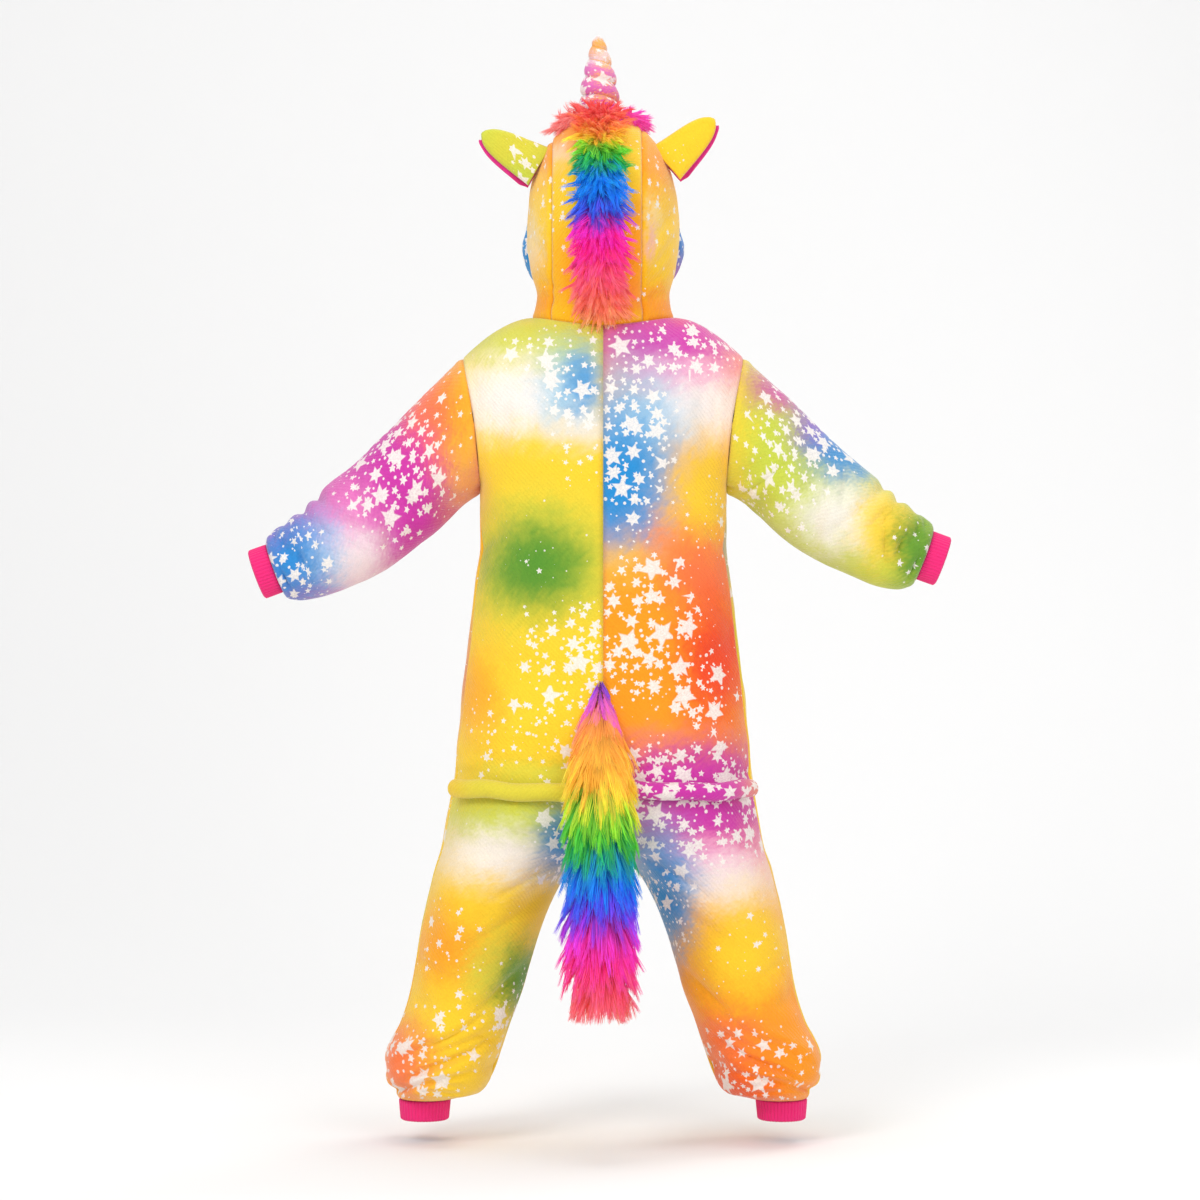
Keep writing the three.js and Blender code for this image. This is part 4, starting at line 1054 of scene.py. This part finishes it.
def make_sleeve(half):
    """A sleeve with its seam under the arm."""
    name = f"sleeve_{END[half]}"

    def point(u, v):
        return sleeve_point(half, PI + u * 2 * PI, 0.006 + 0.994 * v)

    def away(points):
        arm = np.interp(np.abs(points[..., 0]), SLEEVE["x"][[0, -1]], SLEEVE["z"][[0, -1]])
        return np.stack([0 * points[..., 0], points[..., 1], points[..., 2] - arm], -1)

    sleeve = cloth(
        f"{name}_fleece",
        point,
        130,
        130,
        clouds_of(name),
        away,
        ring=True,
        dip=(0, 0, 1, 1),
        thick=2.2,
        grain=0.25,
        upright=False,
        stars=STARS[name],
    )
    settle(sleeve, [name], material=PRINTED)


RIBS = 44
CUFF_LENGTH = 26
ANKLE_LENGTH = 27
CUFF_INSET = 2
SEAM_GAP = 0.4


def rib_relief(u, v, points):
    """Knit ribs, drawn in at both ends of the cuff."""
    rise = 1.3 * np.abs(np.cos(u * RIBS * PI)) ** 0.7 - 0.6
    return rise - 2.4 * np.clip((v - 0.9) / 0.1, 0, 1) ** 2 - 1.2 * np.clip((0.1 - v) / 0.1, 0, 1) ** 2


def knit_cuff(name, point, middle):
    """A ring of rib knit about its middle."""
    cuff = cloth(
        f"{name}_knit",
        point,
        14,
        RIBS * 6,
        lambda p: p * 0 + 1,
        lambda p: p - middle,
        ring=True,
        thick=2.0,
        swell=0.3,
        relief=rib_relief,
    )
    settle(cuff, [name], material=RIB_KNIT)


def make_cuff(half):
    middle, up, out = sleeve_frame(half, np.array(1.0))
    high, deep = SLEEVE["high"][-1] - CUFF_INSET, SLEEVE["deep"][-1] - CUFF_INSET

    def point(u, v):
        turn = (u * 2 * PI)[..., None]
        centre = middle + out * (SEAM_GAP + CUFF_LENGTH * v[..., None])
        return centre + up * high * np.cos(turn) + np.array([0, deep, 0]) * np.sin(turn)

    knit_cuff(f"cuff_{END[half]}", point, middle + out * CUFF_LENGTH / 2)


def make_ankle_cuff(half):
    centre = (BODY["out"][-1] + BODY["inner"][-1]) / 2
    radius = (BODY["out"][-1] - BODY["inner"][-1]) / 2 - 1.2

    def point(u, v):
        turn = u * 2 * PI
        ring = radius - 2.5 * v
        z = ANKLE_Z - SEAM_GAP - ANKLE_LENGTH * v
        return np.stack([half * centre + ring * np.cos(turn), ring * np.sin(turn), z], -1)

    knit_cuff(f"ankle_cuff_{END[half]}", point, np.array([half * centre, 0, ANKLE_Z - ANKLE_LENGTH / 2]))


for half in (-1, 1):
    make_sleeve(half)
    make_cuff(half)
    make_ankle_cuff(half)


def make_hood_panel(name, start, end, columns):
    def point(u, v):
        first, last = start(v), end(v)
        return hood_point(first + u * (last - first), v)

    def away(points):
        return points - HEAD_MIDDLE

    panel = cloth(
        f"{name}_fleece",
        point,
        96,
        columns,
        clouds_of(name),
        away,
        dip=(1, 1, 1, 0),
        swell=0.7,
        upright=False,
        stars=LITTLE_STARS,
    )
    settle(panel, [name], material=PRINTED)


def left_seam(at):
    return hood_seam(HOOD_LEFT_SEAM, at)


def right_seam(at):
    return hood_seam(HOOD_RIGHT_SEAM, at)


make_hood_panel("hood_centre", left_seam, right_seam, 34)
make_hood_panel("hood_side_left", left_seam, lambda v: -hood_end(v), 40)
make_hood_panel("hood_side_right", right_seam, hood_end, 40)


def unit(vectors):
    return vectors / np.maximum(np.linalg.norm(vectors, axis=-1, keepdims=True), 1e-9)


def bands(stops, places):
    """Dye of the long pile by height: stops are (z, colour), read straight between them."""
    heights = np.array([stop[0] for stop in stops])
    colours = np.array([linear(stop[1]) for stop in stops])
    order = np.argsort(heights)
    return np.stack([np.interp(places, heights[order], colours[order][:, k]) for k in range(3)], -1)


# How far the strands of a lock are drawn to its leading strand, and how a strand thins to its tip.
GATHER = 0.8
STRAND_SHARES = (0, 0.38, 0.72, 1)
STRAND_WIDTHS = (0.85, 1.0, 0.62, 0.12)
# How tone differs between locks and between strands, and how it rises from root to tip: painted shade at the
# root, painted light towards the tip.
LOCK_TONE = 0.11
STRAND_TONE = 0.05
ROOT_PAINTED_SHADE = 0.8
TIP_PAINTED_LIGHT = 0.75
# The backing's dye is darkened by this as painted shade under the strands.
BACKING_PAINTED_SHADE = 0.75


def make_pile(name, roots, start, end, length, thick, dye, clump):
    """Long pile: tapered strands from roots, bending from start towards end, drawn together in locks.

    Neighbouring strands, clump at a time in the order given, share the tip of their lock.
    """
    count = len(roots)
    lock = np.arange(count) // clump
    leader = lock * clump
    bend = roots + start * length[:, None] * 0.5
    tip = bend + end * length[:, None] * 0.55
    bend = bend * (1 - GATHER * 0.35) + bend[leader] * GATHER * 0.35
    tip = tip * (1 - GATHER) + tip[leader] * GATHER + rng.normal(size=(count, 3)) * 1.1
    aside = unit(np.cross(tip - roots, rng.normal(size=(count, 3))))
    across = unit(np.cross(tip - roots, aside))
    rings = []
    for share, width in zip(STRAND_SHARES, STRAND_WIDTHS):
        middle = roots * (1 - share) ** 2 + bend * 2 * share * (1 - share) + tip * share**2
        for k in range(3):
            turn = k * 2 * PI / 3
            spoke = aside * math.cos(turn) + across * math.sin(turn)
            rings.append(middle + spoke * (thick * width)[:, None])
    points = np.stack(rings, 1)
    corners = []
    for j in range(len(STRAND_SHARES) - 1):
        for k in range(3):
            a, b = 3 * j + k, 3 * j + (k + 1) % 3
            corners.append([a, b, b + 3, a + 3])
    faces = (np.arange(count)[:, None, None] * points.shape[1] + np.array(corners)[None]).reshape(-1, 4)
    tone = rng.normal(1, LOCK_TONE, size=(lock.max() + 1, 1))[lock]
    tone = tone * rng.normal(1, STRAND_TONE, size=(count, 1))
    along = np.repeat(STRAND_SHARES, 3)[None, :, None]
    # Dye times random tone, darkened at the root as painted shade and lifted towards the tip as painted
    # light.
    colours = dye(roots * 0.35 + tip * 0.65, lock)[:, None] * tone[:, None] * (ROOT_PAINTED_SHADE + TIP_PAINTED_LIGHT * along)
    points = points.reshape(-1, 3)
    colours = np.clip(colours.reshape(-1, 3), 0, 1)
    piece = make_mesh(name, points, faces, np.zeros((len(points), 2)), colours)
    piece.data.materials.append(LONG_PILE)
    return piece


def make_backing(name, points, faces, ground):
    """What long pile grows from, its dye darkened as painted shade under the strands."""
    piece = make_mesh(name, points, faces, points[:, :2] * MM, ground * BACKING_PAINTED_SHADE)
    piece.data.materials.append(LONG_PILE)
    return piece


def by_height(stops, spread):
    """Dye of the locks by height, each lock a little higher or lower than its place."""

    def dye(places, lock):
        shift = rng.normal(0, spread, size=lock.max() + 1)[lock]
        return bands(stops, places[:, 2] + shift)

    return dye


def by_lock(count, clump, draw):
    """Draws numbers for the locks and repeats them for each lock's strands."""
    return np.repeat(draw(-(-count // clump)), clump, axis=0)[:count]


TAIL_X = -4
TAIL_BANDS = (
    (-444, "#8A4CD2"),
    (-466, "#C84FD4"),
    (-486, "#F76BC8"),
    (-503, "#FF9A4C"),
    (-528, "#FFB03A"),
    (-574, "#FFC638"),
    (-598, "#B4D232"),
    (-622, "#55BE32"),
    (-646, "#22AE58"),
    (-664, "#129CCB"),
    (-690, "#1878E2"),
    (-708, "#5556E2"),
    (-727, "#9A40DA"),
    (-750, "#DA38C4"),
    (-782, "#F43298"),
    (-808, "#FB5488"),
    (-850, "#FF7B68"),
)
MANE_BANDS = (
    (285, "#FF6A68"),
    (260, "#FF9448"),
    (244, "#F6C832"),
    (234, "#8CCB32"),
    (220, "#2FB83A"),
    (206, "#0FA884"),
    (196, "#0892E0"),
    (166, "#0D83E0"),
    (153, "#3E5AD0"),
    (140, "#7A3CC0"),
    (128, "#F02CC0"),
    (104, "#FF1E9E"),
    (82, "#FF4A94"),
    (56, "#FF6C74"),
    (34, "#FF8066"),
    (13, "#FFA468"),
)


def make_tail():
    """Long-pile tail: a stuffed core under layers of locks that point down and out."""
    count, clump = 8800, 10
    z = by_lock(count, clump, lambda n: np.sort(rng.uniform(-822, -440, n))[::-1]) + rng.normal(0, 3, count)
    turn = by_lock(count, clump, lambda n: rng.uniform(0, 2 * PI, n)) + rng.normal(0, 0.13, count)
    wide, deep = read(TAIL, "z", "wide", z), read(TAIL, "z", "deep", z)
    middle = read(TAIL, "z", "y", z)
    out = np.stack([np.cos(turn), np.sin(turn), 0 * z], -1)
    narrow = 0.5 - 0.24 * ease((-760 - z) / 70)
    roots = np.stack([TAIL_X + narrow * wide * np.cos(turn), middle + narrow * deep * np.sin(turn), z], -1)
    down = np.array([0, 0, -1.0])
    reach = by_lock(count, clump, lambda n: rng.uniform(0.75, 1.12, n))
    length = np.minimum(54, 17 + wide) * reach
    start = unit(out * 0.75 + down * 0.75)
    end = unit(out * 0.22 + down + rng.normal(size=(count, 3)) * 0.1)
    low = -849 - (roots + start * length[:, None] * 0.5 + end * length[:, None] * 0.55)[:, 2]
    length = np.where(low > 0, length * np.clip(1 - low / 60, 0.3, 1), length)
    thick = rng.uniform(0.5, 0.9, count)
    pile = make_pile("tail_pile", roots, start, end, length, thick, by_height(TAIL_BANDS, 5), clump)
    u, v = np.meshgrid(np.arange(32) / 32, np.arange(41) / 40)
    z = -446 - v * 378
    girth = 0.1 + 0.44 * ease((-446 - z) / 80) - 0.42 * ease((-740 - z) / 84)
    core = np.stack(
        [
            TAIL_X + girth * read(TAIL, "z", "wide", z) * np.cos(u * 2 * PI),
            read(TAIL, "z", "y", z) + girth * read(TAIL, "z", "deep", z) * np.sin(u * 2 * PI),
            z,
        ],
        -1,
    ).reshape(-1, 3)
    faces = grid_faces(40, 32, True)[:, ::-1]
    backing = make_backing("tail_core", core, faces, bands(TAIL_BANDS, core[:, 2] - 14))
    settle(backing, ["tail"])
    settle(pile, ["tail"])


def hood_skin(turn, at):
    """Points of the hood, with the way out of it."""
    place = hood_point(turn, at)
    out = surface_normal(hood_point, turn, at)
    return place, out * np.sign((out * (place - HEAD_MIDDLE)).sum(-1, keepdims=True))


def hood_places(x, at):
    """Points of the hood by x and height share, with the ways out of it and down it."""
    turn = hood_seam(x, at)
    place, out = hood_skin(turn, at)
    below = hood_point(turn, np.maximum(0, at - 0.01))
    return place, out, unit(below - place)


def make_mane():
    """Crest of long pile down the middle of the hood."""
    count, clump = 7600, 9
    at = by_lock(count, clump, lambda n: np.sort(rng.uniform(0.075, 0.83, n))[::-1])
    at = at + rng.normal(0, 0.007, count)
    spot = by_lock(count, clump, lambda n: rng.uniform(-1, 1, n))
    x = -4 + 19 * spot + rng.normal(0, 1.8, count)
    place, out, down = hood_places(x, at)
    roots = place + out * 2.0
    sideways = np.stack([spot, 0 * spot, 0 * spot], -1)
    length = by_lock(count, clump, lambda n: rng.uniform(26, 40, n)) * rng.uniform(0.9, 1.05, count)
    lean = by_lock(count, clump, lambda n: rng.normal(size=(n, 3)) * 0.22)
    start = unit(out * 0.62 + down * 0.45 + sideways * 0.3 + lean)
    end = unit(out * 0.08 + down * 0.8 + sideways * 0.55 + lean + rng.normal(size=(count, 3)) * 0.12)
    thick = rng.uniform(0.5, 0.85, count)
    pile = make_pile("mane_pile", roots, start, end, length, thick, by_height(MANE_BANDS, 4), clump)
    u, v = np.meshgrid(np.linspace(-1, 1, 13), np.linspace(0.04, 0.84, 61))
    place, out, _ = hood_places(-4 + 24 * u, v)
    strip = (place + out * (1.2 + 3 * np.sqrt(1 - u[..., None] ** 2))).reshape(-1, 3)
    backing = make_backing("mane_backing", strip, grid_faces(60, 12), bands(MANE_BANDS, strip[:, 2]))
    settle(backing, ["mane"])
    settle(pile, ["mane"])


def make_forelock():
    """Tuft of long pile all round the root of the horn."""
    count, clump = 4700, 9
    turn = by_lock(count, clump, lambda n: rng.uniform(0, 2 * PI, n)) + rng.normal(0, 0.07, count)
    grow = by_lock(count, clump, lambda n: rng.uniform(0, 1, n)) + rng.normal(0, 0.05, count)
    x = HORN_X + np.cos(turn) * (28 + 16 * grow)
    y = HORN_Y + np.sin(turn) * (28 - 5 * grow)
    place, out = crown_places(x, y)
    roots = place + out * 0.6
    radial = np.stack([np.cos(turn), 0.7 * np.sin(turn), 0 * turn], -1)
    length = by_lock(count, clump, lambda n: rng.uniform(20, 36, n)) * rng.uniform(0.9, 1.05, count)
    lean = by_lock(count, clump, lambda n: rng.normal(size=(n, 3)) * 0.28)
    start = unit(out * 0.25 + radial * 0.8 + lean)
    end = unit(out * -0.55 + radial * 0.8 + lean + rng.normal(size=(count, 3)) * 0.16)
    thick = rng.uniform(0.5, 0.9, count)
    coral, orange, hot = (np.array(linear(c)) for c in ("#FF8A88", "#FFA672", "#FF55B4"))

    def dye(places, lock):
        right = ease((places[:, :1] + 26 + rng.normal(0, 9, size=lock.max() + 1)[lock][:, None]) / 44)
        middle = np.exp(-(((places[:, :1] + 12) / 18) ** 2)) * 0.5
        base = coral * (1 - right) + hot * right
        return base * (1 - middle) + orange * middle

    pile = make_pile("forelock_pile", roots, start, end, length, thick, dye, clump)
    settle(pile, ["forelock"])


HORN_X, HORN_Y = -4, 24
HORN_TIP = (-6, 20, 392)
HORN_FOOT = 283
HORN_GROOVE = 0.25
HORN_PUFF = 1.04
HORN_SHAPE = table(
    "at radius",
    (0, 27.5),
    (0.1, 27.3),
    (0.29, 25.4),
    (0.49, 22.2),
    (0.69, 16.5),
    (0.85, 11),
    (0.96, 7),
    (1, 5.5),
)
HORN_RINGS = ((0, 0.2, 0.38, 0.6, 0.79, 0.92, 1), (0, 1, 2, 3, 4, 5, 6))


def crown_places(x, y):
    """Points on top of the hood by x and y, with the way out, found by halving the height share."""
    x, y = np.broadcast_arrays(np.asarray(x, float), np.asarray(y, float))
    low, high = np.full(x.shape, 0.55), np.full(x.shape, 1.0)
    for _ in range(22):
        at = (low + high) / 2
        ahead = hood_point(hood_seam(x, at), at)[..., 1] > y
        high = np.where(ahead, at, high)
        low = np.where(ahead, low, at)
    return hood_skin(hood_seam(x, at), at)


def horn_place(share, turn, radius):
    """A point round the horn's line, whose foot follows the crown of the hood."""
    x = HORN_X + (HORN_TIP[0] - HORN_X) * share + radius * np.cos(turn)
    y = HORN_Y + (HORN_TIP[1] - HORN_Y) * share + radius * np.sin(turn)
    foot = HORN_FOOT - ((x - HORN_X) / 27) ** 2 * 8
    return np.stack([x, y, foot + (HORN_TIP[2] - foot) * share], -1)


def make_horn():
    """Stuffed horn, drawn in by a cord that winds round it."""
    columns, rows = 72, 170

    def point(u, v):
        ring = np.interp(v, *HORN_RINGS) + u
        bulge = np.abs(np.sin(PI * ring)) ** 0.5
        radius = HORN_PUFF * read(HORN_SHAPE, "at", "radius", v) * (1 - HORN_GROOVE + HORN_GROOVE * bulge)
        tip = np.sqrt(np.maximum(0.0004, 1 - np.maximum(0, (v - 0.93) / 0.07) ** 2))
        return horn_place(v, PI / 2 + u * 2 * PI, radius * tip)

    def away(points):
        return np.stack([points[..., 0] - HORN_X, points[..., 1] - HORN_Y, 0 * points[..., 2]], -1)

    horn = cloth(
        "horn_plush",
        point,
        rows,
        columns,
        clouds_of("horn"),
        away,
        ring=True,
        swell=0.5,
        upright=False,
        grain=0.75,
        stars=STARS["horn"],
    )
    horn.modifiers.remove(horn.modifiers["thickness"])
    settle(horn, ["horn"], material=PRINTED)
    share = np.linspace(0.02, 0.9, 420)
    ring = np.interp(share, *HORN_RINGS)
    turn = PI / 2 + (np.ceil(ring) - ring) * 2 * PI
    radius = read(HORN_SHAPE, "at", "radius", share) * (1 - HORN_GROOVE) + 0.5
    thread = make_tube("horn_cord", horn_place(share, turn, radius), 0.9, 6, GOLD_CORD)
    settle(thread, ["horn"])


def make_tube(name, path, radius, sides, material):
    """A round thread along a path in mm."""
    along = unit(np.gradient(path, axis=0))
    aside = unit(np.cross(along, np.array([0.13, 0.31, 0.94])))
    across = np.cross(along, aside)
    turn = np.arange(sides) * 2 * PI / sides
    ring = aside[:, None] * np.cos(turn)[:, None] + across[:, None] * np.sin(turn)[:, None]
    points = path[:, None] + ring * radius
    faces = grid_faces(len(path) - 1, sides, True)
    piece = make_mesh(name, points.reshape(-1, 3), faces[:, ::-1])
    piece.data.materials.append(material)
    return piece


EAR = {
    -1: {"root": (-82, 8, 222), "tip": (-156, 266), "width": 62},
    1: {"root": (80, 8, 226), "tip": (143, 284), "width": 62},
}
EAR_LINING_SHIFT = 8.2


def make_ear(half):
    """An ear of two leaves: printed fleece behind, pink fleece in front, puffed by the turned seam."""
    ear = EAR[half]
    root = np.array(ear["root"], float)
    reach = np.array([ear["tip"][0] - root[0], 0, ear["tip"][1] - root[2]])
    way = unit(reach)
    side = np.array([-way[2] * half, 0, way[0] * half])

    def leaf(node, shift, spread, puff, dye, stars, material):
        def point(u, v):
            outline = (0.93 - 0.38 * v) * np.sqrt(np.maximum(0.03, 1 - v**6))
            across = (u - 0.5) * ear["width"] * outline - spread * (1 - 0.4 * u) * ease(v * 6)
            cup = 7 * (1 - (2 * u - 1) ** 2) * (1 - 0.5 * v)
            swell = puff * np.sin(PI * np.clip(u, 0, 1)) ** 0.6
            swell = swell * np.sin(PI * np.clip(v * 0.92 + 0.08, 0, 1)) ** 0.6
            base = root + side * across[..., None] + reach * (v * (1 - 0.01 * spread))[..., None]
            base[..., 1] += shift - cup + swell
            pinch = ease(1 - v / 0.4)
            base[..., 1] += pinch * 6 * np.sign(shift - 3)
            return base

        facing = 1 if shift > 0 else -1
        piece = cloth(
            f"{node}_fleece",
            point,
            60,
            44,
            dye,
            lambda p: p * 0 + np.array([0, facing, 0]),
            dip=(1, 1, 0, 1),
            swell=0.5,
            stars=stars,
        )
        settle(piece, [node], material=material)

    end = END[half]
    pink = np.array([linear(PINK)])
    print_dye, print_stars = clouds_of(f"ear_{end}"), STARS[f"ear_{end}"]
    leaf(f"ear_back_{end}", 0, 0, -1.5, print_dye, print_stars, PRINTED)
    shift, plain = EAR_LINING_SHIFT, lambda p: np.tile(pink, (len(p), 1))
    leaf(f"ear_lining_{end}", shift, 4, 1.0, plain, (), PINK_PLUSH)


WELT_RADIUS = 11.5
WELT_END = 0.42


def make_welt():
    """Rolled tube that covers the seam between back and seat."""
    columns, rows = 28, 300

    def path(share):
        angle = -PI / 2 + np.abs(share) * (PI / 2 - WELT_END)
        level = np.full_like(share, float(WELT_LEVEL))
        left = body_point(-1, angle, level, "back")
        right = body_point(1, angle, level, "back")
        return np.where((share < 0)[..., None], left, right)

    def point(u, v):
        share = -1 + 2 * v
        along = unit(path(share + 0.01) - path(share - 0.01))
        out = unit(np.stack([along[..., 1], -along[..., 0], 0 * share], -1))
        close = np.sqrt(np.maximum(0.02, 1 - np.maximum(0, (np.abs(share) - 0.965) / 0.035) ** 2))
        sag = 1.6 * np.sin(share * 7 + 0.6) + 0.9 * np.sin(share * 17)
        turn = PI + u * 2 * PI
        middle = path(share) + out * (WELT_RADIUS + 0.9)
        shown = middle + out * (WELT_RADIUS * close * np.cos(turn))[..., None]
        shown[..., 2] += WELT_RADIUS * close * np.sin(turn) + sag
        return shown

    def away(points):
        return points * np.array([0.2, 1, 0]) + np.array([0, 118, 0])

    left, right = DYE_LINEAR["lime"] * 0.55 + DYE_LINEAR["yellow"] * 0.45, DYE_LINEAR["magenta"]

    def dye(points):
        share = ease((points[:, :1] + 6) / 8)
        ends = np.exp(-(((np.abs(points[:, :1]) - 200) / 26) ** 2)) * 0.5
        base = left * (1 - share) + right * share
        return base * (1 - ends) + DYE_LINEAR["gold"] * ends

    welt = cloth(
        "welt_fleece",
        point,
        rows,
        columns,
        dye,
        away,
        ring=True,
        swell=0.3,
        upright=False,
        grain=0.0,
        stars=STARS["welt_right"],
    )
    welt.modifiers.remove(welt.modifiers["thickness"])
    settle(welt, ["welt"], material=PRINTED)


def front_place(x, z):
    return np.stack([x, trunk_depth(x, z, "front"), z], -1)


PLACKET_HALF = 20
PLACKET_TOP = -22
PLACKET_LENGTH = 458
PLACKET_LIFT = np.array([0, 3.6, 0])


def make_placket():
    """Button strip down the front."""

    def point(u, v):
        return front_place(PLACKET_HALF * (2 * u - 1), PLACKET_TOP - PLACKET_LENGTH * v) + PLACKET_LIFT

    strip = cloth(
        "placket_fleece",
        point,
        160,
        14,
        clouds_of("placket"),
        lambda p: p * 0 + np.array([0, 1, 0]),
        swell=0.3,
        thick=2.0,
        stars=((0, -200, 60, 400, 0.5),),
    )
    settle(strip, ["placket"], material=PRINTED)


def hood_edge(count):
    """The edge of the face opening, up the left side, over the brow and down the right."""
    side = np.linspace(0, 1, count)
    brow = np.linspace(-1, 1, count)[1:-1] * hood_end(np.array(1.0))
    turn = np.concatenate([-hood_end(side), brow, hood_end(side[::-1])])
    at = np.concatenate([side, np.ones(count - 2), side[::-1]])
    return turn, at


BAND_WIDTH = 24


def make_face_band():
    """Printed band round the face opening."""
    turns, ats = hood_edge(60)
    place = hood_point(turns, ats)
    reach = np.concatenate([[0], np.cumsum(np.linalg.norm(np.diff(place, axis=0), axis=1))])
    evenly = np.linspace(0, reach[-1], 241)
    turns, ats = np.interp(evenly, reach, turns), np.interp(evenly, reach, ats)
    place, out = hood_skin(turns, ats)
    way = unit(np.cross(out, np.gradient(place, axis=0)))
    way = way * np.sign(way[:, 1:2] + 1e-6)
    kernel = np.hanning(41) / np.hanning(41).sum()

    def even(ways):
        padded = np.pad(ways, ((20, 20), (0, 0)), "edge")
        return unit(np.stack([np.convolve(padded[:, k], kernel, "valid") for k in range(3)], -1))

    way, out = even(way), even(out)
    steps = np.linspace(0, 1, len(evenly))

    def pick(values, v):
        return np.stack([np.interp(v, steps, values[:, k]) for k in range(3)], -1)

    def point(u, v):
        cheek = np.exp(-(((np.interp(v, steps, ats) - 0.26) / 0.3) ** 2))
        flare = (5 + 8 * cheek) * np.sin(PI * 0.6 * np.clip(u, 0, 1))
        reach = 0.9 + BAND_WIDTH * u
        return pick(place, v) + pick(way, v) * reach[..., None] + pick(out, v) * flare[..., None]

    band = cloth(
        "hood_face_band_fleece",
        point,
        240,
        14,
        clouds_of("hood_face_band"),
        lambda p: p - HEAD_MIDDLE,
        dip=(1, 0, 0, 0),
        swell=0.4,
        upright=False,
        stars=STARS["hood_face_band"],
    )
    settle(band, ["hood_face_band"], material=PRINTED)


make_horn()
for half in (-1, 1):
    make_ear(half)
make_welt()
make_placket()
make_face_band()
make_tail()
make_mane()
make_forelock()
for k in range(1, 6):
    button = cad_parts[f"button_{k}"]
    button.data.materials.clear()
    button.data.materials.append(BUTTON)


STAGE_REACH = 9000.0
COVE_START = 1400
COVE_RADIUS = 1800


def make_stage():
    """A pale studio floor that curves up into a backdrop, clear when seen from behind."""
    turn = np.linspace(0, PI / 2, 24)
    wall = COVE_START + COVE_RADIUS
    run = np.concatenate([[-STAGE_REACH], COVE_START + COVE_RADIUS * np.sin(turn), [wall]])
    rise = np.concatenate([[0], COVE_RADIUS * (1 - np.cos(turn)), [STAGE_REACH]])
    sides = (-STAGE_REACH, STAGE_REACH)
    points = np.array([[x, y, FLOOR_Z + z] for y, z in zip(run, rise) for x in sides])
    floor = make_mesh("studio_floor", points, grid_faces(len(run) - 1, 1))
    made, tree, shader = new_material("studio_paper", Roughness=0.9)
    paper = put(tree, "TexNoise", {"Scale": 3.0, "Detail": 3.0}).outputs[0]
    ground = put(tree, "RGB").outputs[0]
    ground.default_value = (*linear("#F7F7F7"), 1)
    tree.links.new(shade(tree, ground, paper, 0.985, 1.0), shader.inputs["Base Color"])
    behind = put(tree, "NewGeometry").outputs["Backfacing"]
    clear = put(tree, "BsdfTransparent")
    output = tree.nodes["Material Output"]
    both = put(tree, "MixShader", {0: behind, 1: shader.outputs[0], 2: clear.outputs[0]})
    tree.links.new(both.outputs[0], output.inputs["Surface"])
    floor.data.materials.append(made)


# Soft round lamps: name, place, width, power in watts. All aim at the middle of the garment.
LIGHTS = (
    ("key_light", (-1700, -3000, 1900), 1700, 56),
    ("fill_light", (1500, -3200, 500), 1800, 30),
    ("top_light", (0, -300, 3000), 1600, 24),
    ("rim_light", (1500, 1300, 2300), 1400, 22),
)
LIGHT_AIM = (0, 0, -350)
SKY_STRENGTH = 0.62


def add_light(name, place, size, power):
    lamp = bpy.data.lights.new(name, "AREA")
    lamp.shape = "DISK"
    lamp.size = size * MM
    lamp.energy = power
    holder = bpy.data.objects.new(name, lamp)
    holder.location = Vector(place) * MM
    holder.rotation_euler = (Vector(LIGHT_AIM) - Vector(place)).to_track_quat("-Z", "Y").to_euler()
    bpy.context.scene.collection.objects.link(holder)


def light_studio():
    world = bpy.data.worlds.new("studio")
    world.use_nodes = True
    sky = world.node_tree.nodes["Background"]
    sky.inputs["Color"].default_value = (1, 1, 1, 1)
    sky.inputs["Strength"].default_value = SKY_STRENGTH
    bpy.context.scene.world = world
    for light in LIGHTS:
        add_light(*light)
    bpy.context.scene.view_settings.view_transform = "Standard"


make_stage()
light_studio()
